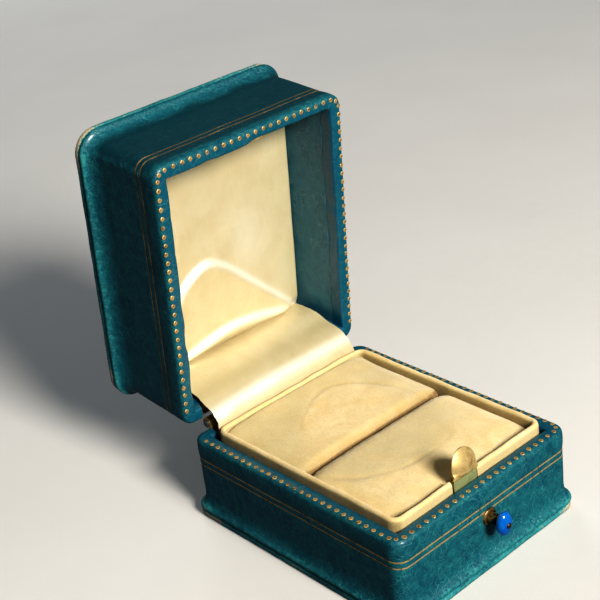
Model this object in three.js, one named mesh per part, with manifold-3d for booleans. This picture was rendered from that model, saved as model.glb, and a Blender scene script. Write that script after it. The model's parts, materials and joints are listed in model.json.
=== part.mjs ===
// Push-button ring box: two leather-covered wooden shells, a sprung brass hinge, a catch worked by a
// button at the front, and a velvet and satin fitting inside. Shown with its lid open.
// Units are millimetres. The origin is under the middle of the base, +Z is up, the button faces -Y.
import * as THREE from "three";
import { mergeVertices } from "three/addons/utils/BufferGeometryUtils.js";
import Module from "manifold-3d";

const wasm = await Module();
wasm.setup();

// ---- driving dimensions ----
const halfWidth = 25.6; // leather wall, half of the width along X
const halfDepth = 30.6; // leather wall, half of the depth along Y
const cornerRadius = 2.2; // of the walls
const baseHeight = 19.5; // floor to the rim of the base
const lidHeight = 24.5; // rim to the top of the lid
const rimGap = 0.2; // between the two rims when the lid is shut
const skin = 0.5; // leather thickness
const glueLine = 0.1; // left between one glued layer and the next
const wallInset = 3.2; // leather wall's outer face to the turned-in leather's inner face
const turnIn = 3.2; // how far the leather runs down inside the rim
const plateThickness = 1.7; // bottom plate and top plate with their leather
const openAngle = 86.1; // degrees from shut to the open stop
const hingeY = 32.0; // hinge axis, behind the back wall
const hingeZ = baseHeight + rimGap / 2;
const hingeHalfLength = 20.4;
const hingeWindow = hingeHalfLength + 0.4; // half of the gap that the leather leaves for the hinge

const baseFlange = { reach: 1.3, radius: 3.6 }; // foot beyond the wall
const lidFlange = { reach: 2.0, radius: 5.4 }; // brim beyond the wall

const lidRim = baseHeight + rimGap; // heights in the lid are given with the lid shut
const lidTop = lidRim + lidHeight;
const frontWallInner = -(halfDepth - wallInset);

const collar = { halfWidth: 22.2, front: -27.2, back: 26.4, wall: 1.8, top: baseHeight + 2.0, foot: 12.4 };
const slotY = 0.4; // middle of the ring slot
const slotGap = 0.5;
const padTop = baseHeight + 0.9;
const padFoot = 10.2;
const floorTop = 3.4;

const tongue = { middleX: -2.4, width: 6.7, thickness: 0.6, faceY: -27.2, nose: 0.8, noseZ: baseHeight + 2.9 };
tongue.tipZ = baseHeight + 8.0;
const button = { x: 0, z: baseHeight - 7.8, stemRadius: 1.2, beadY: -34.4 };

// ---- colours ----
const finishes = {
  leather: { color: 0x14606e, roughness: 0.45, metalness: 0 },
  wood: { color: 0xb58c5a, roughness: 0.8, metalness: 0 },
  card: { color: 0xb9a987, roughness: 0.95, metalness: 0 },
  paper: { color: 0x3f6a74, roughness: 0.7, metalness: 0 },
  velvet: { color: 0xe6d2a0, roughness: 1, metalness: 0 },
  satin: { color: 0xf2e6c4, roughness: 0.35, metalness: 0 },
  brass: { color: 0xb08d45, roughness: 0.35, metalness: 1 },
  steel: { color: 0x9a9a98, roughness: 0.4, metalness: 1 },
  bead: { color: 0x0f6fd0, roughness: 0.1, metalness: 0 },
};

// ---- helpers ----
// A closed three.js geometry as a manifold solid.
function solid(geometry) {
  const bare = geometry.clone();
  bare.deleteAttribute("normal");
  bare.deleteAttribute("uv");
  const merged = mergeVertices(bare, 1e-4);
  const vertProperties = new Float32Array(merged.attributes.position.array);
  const triVerts = new Uint32Array(merged.index.array);
  return new wasm.Manifold(new wasm.Mesh({ numProp: 3, vertProperties, triVerts }));
}

// A manifold solid as a geometry for a mesh.
function geometryOf(body) {
  const mesh = body.getMesh();
  const geometry = new THREE.BufferGeometry();
  geometry.setAttribute("position", new THREE.BufferAttribute(new Float32Array(mesh.vertProperties), 3));
  geometry.setIndex(new THREE.BufferAttribute(new Uint32Array(mesh.triVerts), 1));
  geometry.computeVertexNormals();
  return geometry;
}

// A named mesh of one piece.
function piece(name, shape, finish) {
  const geometry = shape.isBufferGeometry ? shape : geometryOf(shape);
  const mesh = new THREE.Mesh(geometry, new THREE.MeshStandardMaterial(finishes[finish]));
  mesh.name = name;
  return mesh;
}

// A box between two corners.
function block(low, high) {
  const size = high.map((value, i) => value - low[i]);
  const box = new THREE.BoxGeometry(...size);
  box.translate((low[0] + high[0]) / 2, (low[1] + high[1]) / 2, (low[2] + high[2]) / 2);
  return box;
}

// A round bar along X or Y.
function bar(radius, axis, from, to, a, b, sides = 20) {
  const cylinder = new THREE.CylinderGeometry(radius, radius, to - from, sides);
  if (axis === "x") {
    cylinder.rotateZ(-Math.PI / 2);
    cylinder.translate((from + to) / 2, a, b);
  } else {
    cylinder.translate(a, (from + to) / 2, b);
  }
  return cylinder;
}

// One level loop of a rounded rectangle, anticlockwise from above.
function loop(halfX, back, front, radius, z, segments = 5) {
  const points = [];
  const r = Math.max(radius, 0.2);
  const corners = [
    [halfX - r, back - r],
    [-halfX + r, back - r],
    [-halfX + r, front + r],
    [halfX - r, front + r],
  ];
  corners.forEach(([x, y], quarter) => {
    for (let i = 0; i <= segments; i++) {
      const angle = ((quarter + i / segments) * Math.PI) / 2;
      points.push([x + r * Math.cos(angle), y + r * Math.sin(angle), z]);
    }
  });
  return points;
}

// Skin between successive loops. With closed true the last loop joins the first, as a frame does;
// otherwise the first and last loops are capped, as a plate is.
function loft(loops, closed) {
  const count = loops[0].length;
  const positions = loops.flat(2);
  const index = [];
  const bands = closed ? loops.length : loops.length - 1;
  for (let k = 0; k < bands; k++) {
    const lower = k * count;
    const upper = ((k + 1) % loops.length) * count;
    for (let i = 0; i < count; i++) {
      const next = (i + 1) % count;
      index.push(lower + i, lower + next, upper + next);
      index.push(lower + i, upper + next, upper + i);
    }
  }
  if (!closed) {
    const last = (loops.length - 1) * count;
    for (let i = 1; i < count - 1; i++) {
      index.push(0, i + 1, i);
      index.push(last, last + i, last + i + 1);
    }
  }
  const geometry = new THREE.BufferGeometry();
  geometry.setAttribute("position", new THREE.BufferAttribute(new Float32Array(positions), 3));
  geometry.setIndex(index);
  return geometry;
}

// A loop set in or out from the wall's outer face: reach is outwards, and the corners follow.
function wallLoop(reach, z, radius = cornerRadius + reach) {
  return loop(halfWidth + reach, halfDepth + reach, -halfDepth - reach, radius, z);
}

// ---- the two shells, drawn as profiles of [reach, height above the plate] ----
// Outer face of a shell's leather: ridge over the plate, cove, wall and rounded rim.
function shellProfile(height, flange) {
  const ridge = flange.reach;
  const coveFoot = plateThickness + 1.1;
  const coveTop = coveFoot + 1.9 + ridge;
  const cove = [];
  const coveSteps = 5;
  for (let i = 0; i <= coveSteps; i++) {
    const angle = ((i / coveSteps) * Math.PI) / 2;
    cove.push([ridge * (1 - Math.sin(angle)), coveTop - (coveTop - coveFoot) * Math.cos(angle)]);
  }
  return [[ridge, plateThickness + glueLine], ...cove, [0, height - 0.9], [-0.3, height - 0.3], [-0.9, height]];
}

// The radius grows from the wall's to the flange's as the shell flares.
function flareRadius(reach, flange) {
  const share = Math.max(0, reach) / flange.reach;
  return cornerRadius + Math.min(0, reach) + share * (flange.radius - cornerRadius);
}

// Heights run up from the plate; place turns them into Z, so that the lid is the base upside down.
function shellLeather(height, flange, place) {
  const outer = shellProfile(height, flange);
  const inner = [
    [-wallInset + 0.5, height],
    [-wallInset, height - 0.5],
    [-wallInset, height - turnIn],
    [-wallInset + skin, height - turnIn],
    [-wallInset + skin, height - skin],
    [-skin - 0.6, height - skin],
    [-skin, height - skin - 0.5],
  ];
  const inside = outer.slice(0, -3).reverse().map(([reach, z]) => [reach - skin, z]);
  const loops = [...outer, ...inner, ...inside].map(([reach, z]) =>
    wallLoop(reach, place(z), flareRadius(reach, flange)),
  );
  return loft(loops, true);
}

// The wooden frame under the leather.
function shellCore(height, flange, place) {
  const gap = skin + glueLine;
  const outer = shellProfile(height, flange)
    .slice(0, -3)
    .map(([reach, z]) => [reach - gap, z]);
  outer.push([-gap, height - gap - 0.6]);
  outer.push([-gap - 0.65, height - gap]);
  const inner = [
    [-wallInset + gap, height - gap],
    [-wallInset + gap, plateThickness + glueLine],
  ];
  const loops = [...outer, ...inner].map(([reach, z]) => wallLoop(reach, place(z), flareRadius(reach, flange)));
  return loft(loops, true);
}

// The plate that closes a shell, wrapped in its own leather: the leather is a shallow cap.
function plateLeather(flange, place) {
  const edge = flange.reach - 0.2;
  const levels = [
    [edge - 0.4, 0],
    [edge, 0.4],
    [edge, plateThickness - 0.3],
    [edge - 0.3, plateThickness],
    [edge - skin - 0.1, plateThickness],
    [edge - skin - 0.1, skin],
  ];
  return loft(levels.map(([reach, z]) => wallLoop(reach, place(z), flange.radius + reach - flange.reach)), false);
}

function plateBoard(flange, place) {
  const edge = flange.reach - 0.2 - skin - 0.1 - glueLine;
  const levels = [skin + glueLine, plateThickness];
  return loft(levels.map((z) => wallLoop(edge, place(z), flange.radius - 1)), false);
}

const basePlace = (z) => z;
const lidPlace = (z) => lidTop - z;

// The lid's heights run downwards, which turns its faces inside out, so they are turned back.
function flipped(geometry) {
  const turned = geometry.clone();
  const index = turned.index.array;
  for (let i = 0; i < index.length; i += 3) {
    [index[i + 1], index[i + 2]] = [index[i + 2], index[i + 1]];
  }
  return turned;
}

// The part of the back wall near the rim that the hinge and the satin take.
const hingeNotch = block([-hingeWindow, 27.0, baseHeight - 1.6], [hingeWindow, 33.5, lidRim + 1.6]);
const hingeInlay = block([-hingeWindow, halfDepth - skin - 0.05, 12.0], [hingeWindow, 33.5, 27.2]);

// ---- base ----
function makeBaseCore() {
  const shell = solid(shellCore(baseHeight, baseFlange, basePlace));
  const buttonHole = solid(bar(1.75, "y", -32, -26, button.x, button.z));
  return shell.subtract(solid(hingeNotch)).subtract(buttonHole);
}

function makeBaseLeather() {
  const shell = solid(shellLeather(baseHeight, baseFlange, basePlace));
  const ferruleHole = solid(bar(1.75, "y", -32, -26, button.x, button.z));
  return shell.subtract(solid(hingeNotch)).subtract(solid(hingeInlay)).subtract(ferruleHole);
}

function makeBaseFloor() {
  const inside = halfWidth - wallInset + skin + glueLine - 0.2;
  const deep = halfDepth - wallInset + skin + glueLine - 0.2;
  return loft([plateThickness + glueLine, floorTop].map((z) => loop(inside, deep, -deep, 0.4, z)), false);
}

// The collar is a card frame with velvet folded over its top edge.
function collarFrame(inset, thickness, foot, top, round) {
  const loopAt = (move, z) =>
    loop(collar.halfWidth - move, collar.back - move, collar.front + move, Math.max(1.2 - move, 0.3), z);
  const outer = inset;
  const inner = inset + thickness;
  return loft(
    [
      loopAt(outer, foot),
      loopAt(outer, top - round),
      loopAt(outer + round * 0.3, top - round * 0.3),
      loopAt(outer + round, top),
      loopAt(inner - round, top),
      loopAt(inner - round * 0.3, top - round * 0.3),
      loopAt(inner, top - round),
      loopAt(inner, foot),
    ],
    true,
  );
}

const tongueLeft = tongue.middleX - tongue.width / 2;
const tongueRight = tongue.middleX + tongue.width / 2;
const collarNotch = block(
  [tongueLeft - 0.4, collar.front - 1, collar.foot - 1],
  [tongueRight + 0.4, collar.front + collar.wall + 1, collar.top + 1],
);

function makeCollarVelvet() {
  const whole = solid(collarFrame(0, collar.wall, collar.foot, collar.top, 0.8));
  const groove = solid(collarFrame(0.5, collar.wall - 1, collar.foot - 1, collar.top - 0.7, 0.1));
  return whole.subtract(groove).subtract(solid(collarNotch));
}

function makeCollarCard() {
  const frame = solid(collarFrame(0.6, collar.wall - 1.2, collar.foot, collar.top - 0.8, 0.1));
  return frame.subtract(solid(collarNotch));
}

// A pad: a crowned bar across the box, higher towards the slot.
function makePad(slotSide, wallSide) {
  const out = Math.sign(wallSide - slotSide);
  const depth = Math.abs(wallSide - slotSide);
  const outline = new THREE.Shape();
  outline.moveTo(0, padFoot);
  outline.lineTo(depth, padFoot);
  outline.lineTo(depth, padTop - 1.6);
  outline.quadraticCurveTo(depth * 0.92, padTop - 0.7, depth * 0.7, padTop - 0.2);
  outline.quadraticCurveTo(depth * 0.4, padTop + 0.3, depth * 0.15, padTop - 0.2);
  outline.quadraticCurveTo(0, padTop - 0.5, 0, padTop - 2.2);
  outline.closePath();
  const half = collar.halfWidth - collar.wall - 0.15;
  const pad = new THREE.ExtrudeGeometry(outline, { depth: 2 * half, bevelEnabled: false, curveSegments: 6 });
  pad.translate(0, 0, -half);
  const place = new THREE.Matrix4().makeBasis(
    new THREE.Vector3(0, out, 0),
    new THREE.Vector3(0, 0, 1),
    new THREE.Vector3(out, 0, 0),
  );
  pad.applyMatrix4(place);
  pad.translate(0, slotSide, 0);
  return pad;
}

const padBackWall = collar.back - collar.wall - 0.15;
const padFrontWall = collar.front + collar.wall + 0.15;

function makePadBlock(low, high) {
  const half = collar.halfWidth - collar.wall - 0.15;
  return block([-half, low, floorTop + glueLine], [half, high, padFoot - glueLine]);
}

// ---- catch and button ----
// Side view of the leaf in Y and Z: folded foot, upright blade, nose and the leaning ramp above it.
function makeCatchLeaf() {
  const face = tongue.faceY;
  const back = face + tongue.thickness;
  const nose = face - tongue.nose;
  const side = new THREE.Shape();
  side.moveTo(face - 0.45, floorTop + 0.4);
  side.lineTo(back, floorTop + 0.4);
  side.lineTo(back, tongue.noseZ - 0.9);
  side.lineTo(nose + 0.75, tongue.noseZ + 0.15);
  side.quadraticCurveTo(nose + 0.75, tongue.noseZ + 2.6, nose + 1.9, tongue.tipZ);
  side.lineTo(nose + 1.3, tongue.tipZ);
  side.quadraticCurveTo(nose, tongue.noseZ + 2.4, nose, tongue.noseZ);
  side.lineTo(face, tongue.noseZ - 1.1);
  side.lineTo(face, floorTop + 4.4);
  side.lineTo(face - 0.45, floorTop + 4.0);
  side.closePath();
  const strip = new THREE.ExtrudeGeometry(side, { depth: tongue.width, bevelEnabled: false, curveSegments: 8 });
  strip.applyMatrix4(
    new THREE.Matrix4().makeBasis(
      new THREE.Vector3(0, 1, 0),
      new THREE.Vector3(0, 0, 1),
      new THREE.Vector3(1, 0, 0),
    ),
  );
  strip.translate(tongueLeft, 0, 0);
  const radius = tongue.width / 2;
  const front = new THREE.Shape();
  front.moveTo(tongueLeft - 0.01, 0);
  front.lineTo(tongueRight + 0.01, 0);
  front.lineTo(tongueRight + 0.01, tongue.tipZ - radius);
  front.absarc(tongue.middleX, tongue.tipZ - radius, radius + 0.01, 0, Math.PI, false);
  front.closePath();
  const outline = new THREE.ExtrudeGeometry(front, { depth: 6, bevelEnabled: false, curveSegments: 16 });
  outline.rotateX(Math.PI / 2);
  outline.translate(0, -24, 0);
  const holes = catchPinX.map((x) => solid(bar(catchPinHole, "y", -29, -25, x, catchPinZ)));
  return holes.reduce((leaf, hole) => leaf.subtract(hole), solid(strip).intersect(solid(outline)));
}

const catchPinX = [tongue.middleX - 1.9, tongue.middleX + 1.9];
const catchPinZ = floorTop + 2.0;
const catchPinHole = 0.6;
const catchPinSlack = 0.15; // under the pins' heads, so that the leaf can lean

// A round-headed pin along Y, its point towards the front wall.
function makePin(x, z, headY, tipY, shaft, head) {
  const profile = [
    new THREE.Vector2(0, tipY),
    new THREE.Vector2(shaft, tipY + 0.5),
    new THREE.Vector2(shaft, headY),
    new THREE.Vector2(head, headY),
    new THREE.Vector2(head * 0.8, headY + 0.3),
    new THREE.Vector2(0, headY + 0.5),
  ];
  const pin = new THREE.LatheGeometry(profile, 12);
  pin.translate(x, 0, z);
  return pin;
}

// Stem with a domed inner end that bears on the leaf, and a shank that holds the bead.
function makeButtonStem() {
  const inner = tongue.faceY - 0.12;
  const profile = [
    new THREE.Vector2(0, button.beadY - 1.0),
    new THREE.Vector2(0.45, button.beadY - 1.0),
    new THREE.Vector2(0.45, button.beadY + 1.3),
    new THREE.Vector2(button.stemRadius, button.beadY + 1.5),
    new THREE.Vector2(button.stemRadius, inner - 0.25),
    new THREE.Vector2(0.6, inner),
    new THREE.Vector2(0, inner),
  ];
  const stem = new THREE.LatheGeometry(profile, 20);
  stem.translate(button.x, 0, button.z);
  return stem;
}

// Blue glass bead, taller than it is wide, drilled along Y.
function makeBead() {
  const bead = new THREE.SphereGeometry(1, 24, 16);
  bead.scale(1.95, 1.35, 2.7);
  bead.translate(button.x, button.beadY, button.z);
  return solid(bead).subtract(solid(bar(0.55, "y", button.beadY - 3, button.beadY + 3, button.x, button.z, 16)));
}

// Head of the pin that closes the bead's hole.
function makeBeadPin() {
  const face = button.beadY - 1.35;
  const profile = [
    new THREE.Vector2(0, face - 0.35),
    new THREE.Vector2(0.5, face - 0.2),
    new THREE.Vector2(0.75, face + 0.0),
    new THREE.Vector2(0.45, face + 0.02),
    new THREE.Vector2(0.45, button.beadY - 1.1),
    new THREE.Vector2(0, button.beadY - 1.1),
  ];
  const pin = new THREE.LatheGeometry(profile, 16);
  pin.translate(button.x, 0, button.z);
  return pin;
}

// Brass eyelet that lines the hole in the front wall.
function makeFerrule() {
  const bore = button.stemRadius + 0.08;
  const outside = -halfDepth - 0.45;
  const inside = frontWallInner - 0.35;
  const profile = [
    new THREE.Vector2(bore, outside),
    new THREE.Vector2(2.05, outside),
    new THREE.Vector2(2.3, -halfDepth - 0.1),
    new THREE.Vector2(1.65, -halfDepth - 0.1),
    new THREE.Vector2(1.65, inside),
    new THREE.Vector2(bore, inside),
    new THREE.Vector2(bore, outside),
  ];
  const ferrule = new THREE.LatheGeometry(profile, 24);
  ferrule.translate(button.x, 0, button.z);
  return ferrule;
}

// ---- hinge ----
const barrelRadius = 1.3;
const pinRadius = 0.55;
const leafInner = halfDepth - skin - 0.02;
const leafOuter = leafInner + 0.6;
const knuckles = {
  base: [
    [-hingeHalfLength + 0.4, -13],
    [13, hingeHalfLength - 0.4],
  ],
  lid: [
    [-12.8, -5.8],
    [5.8, 12.8],
  ],
};
const leafSpan = { base: [12.6, 18.0], lid: [21.2, 26.6] };
const tackX = [-15, 0, 15];

// A plate let into the back wall, with the rolled knuckles that its neighbour's alternate with.
function makeLeaf(which) {
  const [low, high] = leafSpan[which];
  const half = hingeHalfLength - 0.4;
  let leaf = solid(block([-half, leafInner, low], [half, leafOuter, high]));
  for (const [from, to] of knuckles[which]) {
    const near = which === "base" ? high - 0.4 : hingeZ + 0.3;
    const far = which === "base" ? hingeZ - 0.3 : low + 0.4;
    leaf = leaf.add(solid(block([from, leafInner, near], [to, hingeY - 0.75, far])));
    leaf = leaf.add(solid(bar(barrelRadius, "x", from, to, hingeY, hingeZ, 24)));
    leaf = leaf.subtract(solid(bar(pinRadius + 0.08, "x", from - 1, to + 1, hingeY, hingeZ, 24)));
  }
  const tackZ = (low + high) / 2;
  for (const x of tackX) {
    leaf = leaf.subtract(solid(bar(0.5, "y", leafInner - 1, leafOuter + 1, x, tackZ, 12)));
  }
  return leaf;
}

function makeHingePin() {
  const half = hingeHalfLength;
  const profile = [
    new THREE.Vector2(0, -half - 0.1),
    new THREE.Vector2(0.9, -half + 0.1),
    new THREE.Vector2(0.9, -half + 0.35),
    new THREE.Vector2(pinRadius, -half + 0.35),
    new THREE.Vector2(pinRadius, half - 0.35),
    new THREE.Vector2(0.9, half - 0.35),
    new THREE.Vector2(0.9, half - 0.1),
    new THREE.Vector2(0, half + 0.1),
  ];
  const pin = new THREE.LatheGeometry(profile, 20);
  pin.rotateZ(-Math.PI / 2);
  pin.translate(0, hingeY, hingeZ);
  return pin;
}

// Torsion spring round the pin: the coil's outline as a tube, with a leg on each leaf.
function makeHingeSpring() {
  const half = 5.2;
  const coil = solid(bar(1.15, "x", -half, half, hingeY, hingeZ, 24));
  const bore = solid(bar(pinRadius + 0.1, "x", -half - 1, half + 1, hingeY, hingeZ, 24));
  const legY = [leafOuter + 0.05, leafOuter + 0.5];
  const baseLeg = solid(block([-4.9, legY[0], 13.4], [-4.4, legY[1], hingeZ]));
  const turn = THREE.MathUtils.degToRad(-openAngle);
  const lidLegShape = block([4.4, legY[0], hingeZ], [4.9, legY[1], 25.8]);
  lidLegShape.translate(0, -hingeY, -hingeZ);
  lidLegShape.rotateX(turn);
  lidLegShape.translate(0, hingeY, hingeZ);
  return coil.add(baseLeg).add(solid(lidLegShape)).subtract(bore);
}

// Domed tack through a leaf into the back wall, its head on the leaf's outer face.
function makeTack(x, z) {
  return makePin(x, z, leafOuter + 0.03, leafInner - 0.06, 0.4, 0.85);
}

// ---- lid, drawn shut ----
const keeper = { left: tongueLeft - 3.2, right: tongueRight + 3.2, low: lidRim + 0.7, high: lidRim + 8.8 };
const windowX = [tongueLeft - 0.5, tongueRight + 0.5];
const windowZ = [lidRim + 1.6, lidRim + 7.4];
const keeperInner = frontWallInner - 0.1;
const keeperOuter = keeperInner - 0.45;
const keeperPinX = [keeper.left + 1.4, keeper.right - 1.4];
const keeperPinZ = (keeper.low + keeper.high) / 2;

// Room in the lid's front wall for the catch's nose, and the shallow rebate for the keeper plate.
function cutForKeeper(body) {
  const pocket = block(
    [windowX[0], frontWallInner - 1.5, windowZ[0]],
    [windowX[1], frontWallInner + 1, windowZ[1]],
  );
  const rebate = block(
    [keeper.left - 0.15, keeperOuter - 0.1, keeper.low - 0.15],
    [keeper.right + 0.15, frontWallInner + 1, keeper.high + 0.15],
  );
  return body.subtract(solid(pocket)).subtract(solid(rebate));
}

function makeLidCore() {
  const shell = solid(flipped(shellCore(lidHeight, lidFlange, lidPlace)));
  return cutForKeeper(shell.subtract(solid(hingeNotch)));
}

function makeLidLeather() {
  const shell = solid(flipped(shellLeather(lidHeight, lidFlange, lidPlace)));
  return cutForKeeper(shell.subtract(solid(hingeNotch)).subtract(solid(hingeInlay)));
}

const satinFace = lidRim + 14.2; // edge of the padded satin panel
const satinBack = satinFace + 3.4;
const panelBoardThickness = 1.2;

// Paper that lines the walls inside the lid.
function makeLidLining() {
  const low = lidRim + turnIn + glueLine;
  const high = satinBack + panelBoardThickness + 0.4;
  const at = (inset, z) => wallLoop(-inset, z, 0.5);
  const face = wallInset;
  const back = wallInset - 0.4;
  const frame = loft([at(back, low), at(back, high), at(face, high), at(face, low)], true);
  return cutForKeeper(solid(frame));
}

const panelHalf = [halfWidth - wallInset - 0.25, halfDepth - wallInset - 0.25];

function makeSatinPanel() {
  const at = (inset, z) => loop(panelHalf[0] - inset, panelHalf[1] - inset, -panelHalf[1] + inset, 0.8, z);
  return loft([at(5, satinFace - 1.6), at(1.2, satinFace - 0.7), at(0, satinFace), at(0, satinBack)], false);
}

function makePanelBoard() {
  const z = satinBack + glueLine;
  const levels = [z, z + panelBoardThickness];
  return loft(levels.map((level) => loop(panelHalf[0], panelHalf[1], -panelHalf[1], 0.8, level)), false);
}

function makeKeeper() {
  const plate = solid(block([keeper.left, keeperOuter, keeper.low], [keeper.right, keeperInner, keeper.high]));
  const window = solid(
    block([windowX[0] + 0.1, keeperOuter - 1, windowZ[0] + 0.1], [windowX[1] - 0.1, keeperInner + 1, windowZ[1]]),
  );
  const holes = keeperPinX.map((x) => solid(bar(0.45, "y", keeperOuter - 1, keeperInner + 1, x, keeperPinZ, 12)));
  return holes.reduce((body, hole) => body.subtract(hole), plate.subtract(window));
}

// Satin strip over the hinge, in side view: fixed behind the collar, over the gap, up to the panel.
// It bridges base and lid, so it is drawn where it lies with the lid open.
const coverPath = [
  [26.85, 17.4],
  [26.85, 20.4],
  [27.6, 22.6],
  [29.2, 24.6],
  [31.6, 26.1],
  [34.6, 27.2],
  [38.0, 27.8],
  [41.6, 27.5],
  [44.4, 26.4],
];
const coverThickness = 0.4;

function makeHingeCover() {
  const curve = new THREE.SplineCurve(coverPath.map(([y, z]) => new THREE.Vector2(y, z)));
  const steps = 24;
  const shape = new THREE.Shape();
  const sides = [[], []];
  for (let i = 0; i <= steps; i++) {
    const point = curve.getPoint(i / steps);
    const along = curve.getTangent(i / steps);
    const across = new THREE.Vector2(-along.y, along.x).multiplyScalar(coverThickness / 2);
    sides[0].push(point.clone().add(across));
    sides[1].unshift(point.clone().sub(across));
  }
  shape.setFromPoints([...sides[0], ...sides[1]]);
  const cover = new THREE.ExtrudeGeometry(shape, { depth: 2 * hingeHalfLength, bevelEnabled: false });
  cover.translate(0, 0, -hingeHalfLength);
  cover.applyMatrix4(
    new THREE.Matrix4().makeBasis(
      new THREE.Vector3(0, 1, 0),
      new THREE.Vector3(0, 0, 1),
      new THREE.Vector3(1, 0, 0),
    ),
  );
  return cover;
}

// ---- assembly ----
const base = new THREE.Group();
base.add(
  piece("base_core", makeBaseCore(), "wood"),
  piece("base_leather", makeBaseLeather(), "leather"),
  piece("base_floor", makeBaseFloor(), "card"),
  piece("base_bottom_board", plateBoard(baseFlange, basePlace), "wood"),
  piece("base_bottom_leather", plateLeather(baseFlange, basePlace), "leather"),
  piece("collar_velvet", makeCollarVelvet(), "velvet"),
  piece("collar_card", makeCollarCard(), "card"),
  piece("ring_pad_front", makePad(slotY - slotGap / 2, padFrontWall), "velvet"),
  piece("ring_pad_rear", makePad(slotY + slotGap / 2, padBackWall), "velvet"),
  piece("pad_block_front", makePadBlock(padFrontWall, slotY - 0.7), "card"),
  piece("pad_block_rear", makePadBlock(slotY + 0.7, padBackWall), "card"),
  piece("hinge_leaf_base", makeLeaf("base"), "brass"),
  piece("hinge_pin", makeHingePin(), "steel"),
  piece("hinge_spring", makeHingeSpring(), "steel"),
  piece("satin_hinge_cover", makeHingeCover(), "satin"),
  piece("button_ferrule", makeFerrule(), "brass"),
);
catchPinX.forEach((x, i) => {
  const headY = tongue.faceY + tongue.thickness + catchPinSlack;
  base.add(piece(`catch_pin_${i + 1}`, makePin(x, catchPinZ, headY, tongue.faceY - 0.5, 0.45, 0.9), "brass"));
});
tackX.forEach((x, i) => {
  base.add(piece(`hinge_tack_base_${i + 1}`, makeTack(x, (leafSpan.base[0] + leafSpan.base[1]) / 2), "brass"));
});

const catchGroup = new THREE.Group();
catchGroup.add(piece("catch_leaf", makeCatchLeaf(), "brass"));

const buttonGroup = new THREE.Group();
buttonGroup.add(
  piece("button_stem", makeButtonStem(), "brass"),
  piece("button_bead", makeBead(), "bead"),
  piece("bead_pin", makeBeadPin(), "brass"),
);

// The lid is drawn shut and then turned back about the hinge pin.
const lid = new THREE.Group();
lid.add(
  piece("lid_core", makeLidCore(), "wood"),
  piece("lid_leather", makeLidLeather(), "leather"),
  piece("lid_top_board", flipped(plateBoard(lidFlange, lidPlace)), "wood"),
  piece("lid_top_leather", flipped(plateLeather(lidFlange, lidPlace)), "leather"),
  piece("lid_lining", makeLidLining(), "paper"),
  piece("satin_panel", makeSatinPanel(), "satin"),
  piece("panel_board", makePanelBoard(), "card"),
  piece("hinge_leaf_lid", makeLeaf("lid"), "brass"),
  piece("keeper_plate", makeKeeper(), "brass"),
);
keeperPinX.forEach((x, i) => {
  const pin = makePin(x, keeperPinZ, keeperInner + 0.03, keeperOuter - 0.06, 0.35, 0.7);
  lid.add(piece(`keeper_pin_${i + 1}`, pin, "brass"));
});
tackX.forEach((x, i) => {
  lid.add(piece(`hinge_tack_lid_${i + 1}`, makeTack(x, (leafSpan.lid[0] + leafSpan.lid[1]) / 2), "brass"));
});
lid.position.set(0, -hingeY, -hingeZ);
const hinge = new THREE.Group();
hinge.add(lid);
hinge.position.set(0, hingeY, hingeZ);
hinge.rotation.x = THREE.MathUtils.degToRad(-openAngle);

const group = new THREE.Group();
group.add(base, catchGroup, buttonGroup, hinge);

export default group;
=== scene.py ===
"""Looks of a push-button ring box: crushed leather over two shells with gilt tooling, a velvet fitting
in the base, a padded satin panel in the lid and a brass catch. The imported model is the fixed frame.
Lengths in this file are millimetres unless a name says otherwise; MM turns them into metres."""
import json
import math

import bpy
import numpy as np
from mathutils import Matrix, Vector, noise


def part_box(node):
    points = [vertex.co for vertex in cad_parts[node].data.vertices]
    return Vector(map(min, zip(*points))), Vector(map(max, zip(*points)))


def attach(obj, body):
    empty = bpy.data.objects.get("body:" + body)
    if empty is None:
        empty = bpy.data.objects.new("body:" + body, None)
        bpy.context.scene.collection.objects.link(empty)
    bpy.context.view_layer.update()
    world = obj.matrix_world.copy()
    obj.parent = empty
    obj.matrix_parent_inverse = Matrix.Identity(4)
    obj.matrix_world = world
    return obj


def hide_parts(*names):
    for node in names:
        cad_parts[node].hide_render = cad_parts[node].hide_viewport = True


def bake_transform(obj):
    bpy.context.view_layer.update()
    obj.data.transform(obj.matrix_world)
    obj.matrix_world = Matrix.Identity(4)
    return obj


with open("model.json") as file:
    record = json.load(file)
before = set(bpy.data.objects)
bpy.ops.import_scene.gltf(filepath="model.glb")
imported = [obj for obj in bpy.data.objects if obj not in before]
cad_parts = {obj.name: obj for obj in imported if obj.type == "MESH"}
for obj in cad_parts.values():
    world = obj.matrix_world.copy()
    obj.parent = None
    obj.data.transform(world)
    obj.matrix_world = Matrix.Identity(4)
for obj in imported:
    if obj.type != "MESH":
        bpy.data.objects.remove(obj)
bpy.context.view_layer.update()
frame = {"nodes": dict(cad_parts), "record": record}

MM = 0.001


def box_mm(node):
    low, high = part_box(node)
    return np.array(low) / MM, np.array(high) / MM


# ---- driving sizes, from the frame ----
base_high = box_mm("base_leather")[1]
plate_high = box_mm("base_bottom_leather")[1]
FOOT_REACH = 1.3  # base: ridge over the bottom plate, beyond the wall
BRIM_REACH = 2.0  # lid: ridge under the top plate, beyond the wall
HALF_X = base_high[0] - FOOT_REACH
HALF_Y = base_high[1] - FOOT_REACH
BASE_HEIGHT = base_high[2]
PLATE = plate_high[2]
WALL_RADIUS = 2.9
FOOT_RADIUS = 3.6
BRIM_RADIUS = 5.4
WALL_INSET = 3.2  # width of the rim
TURN_IN = 3.2  # leather turned down inside the rim
SKIN = 0.5

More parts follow.
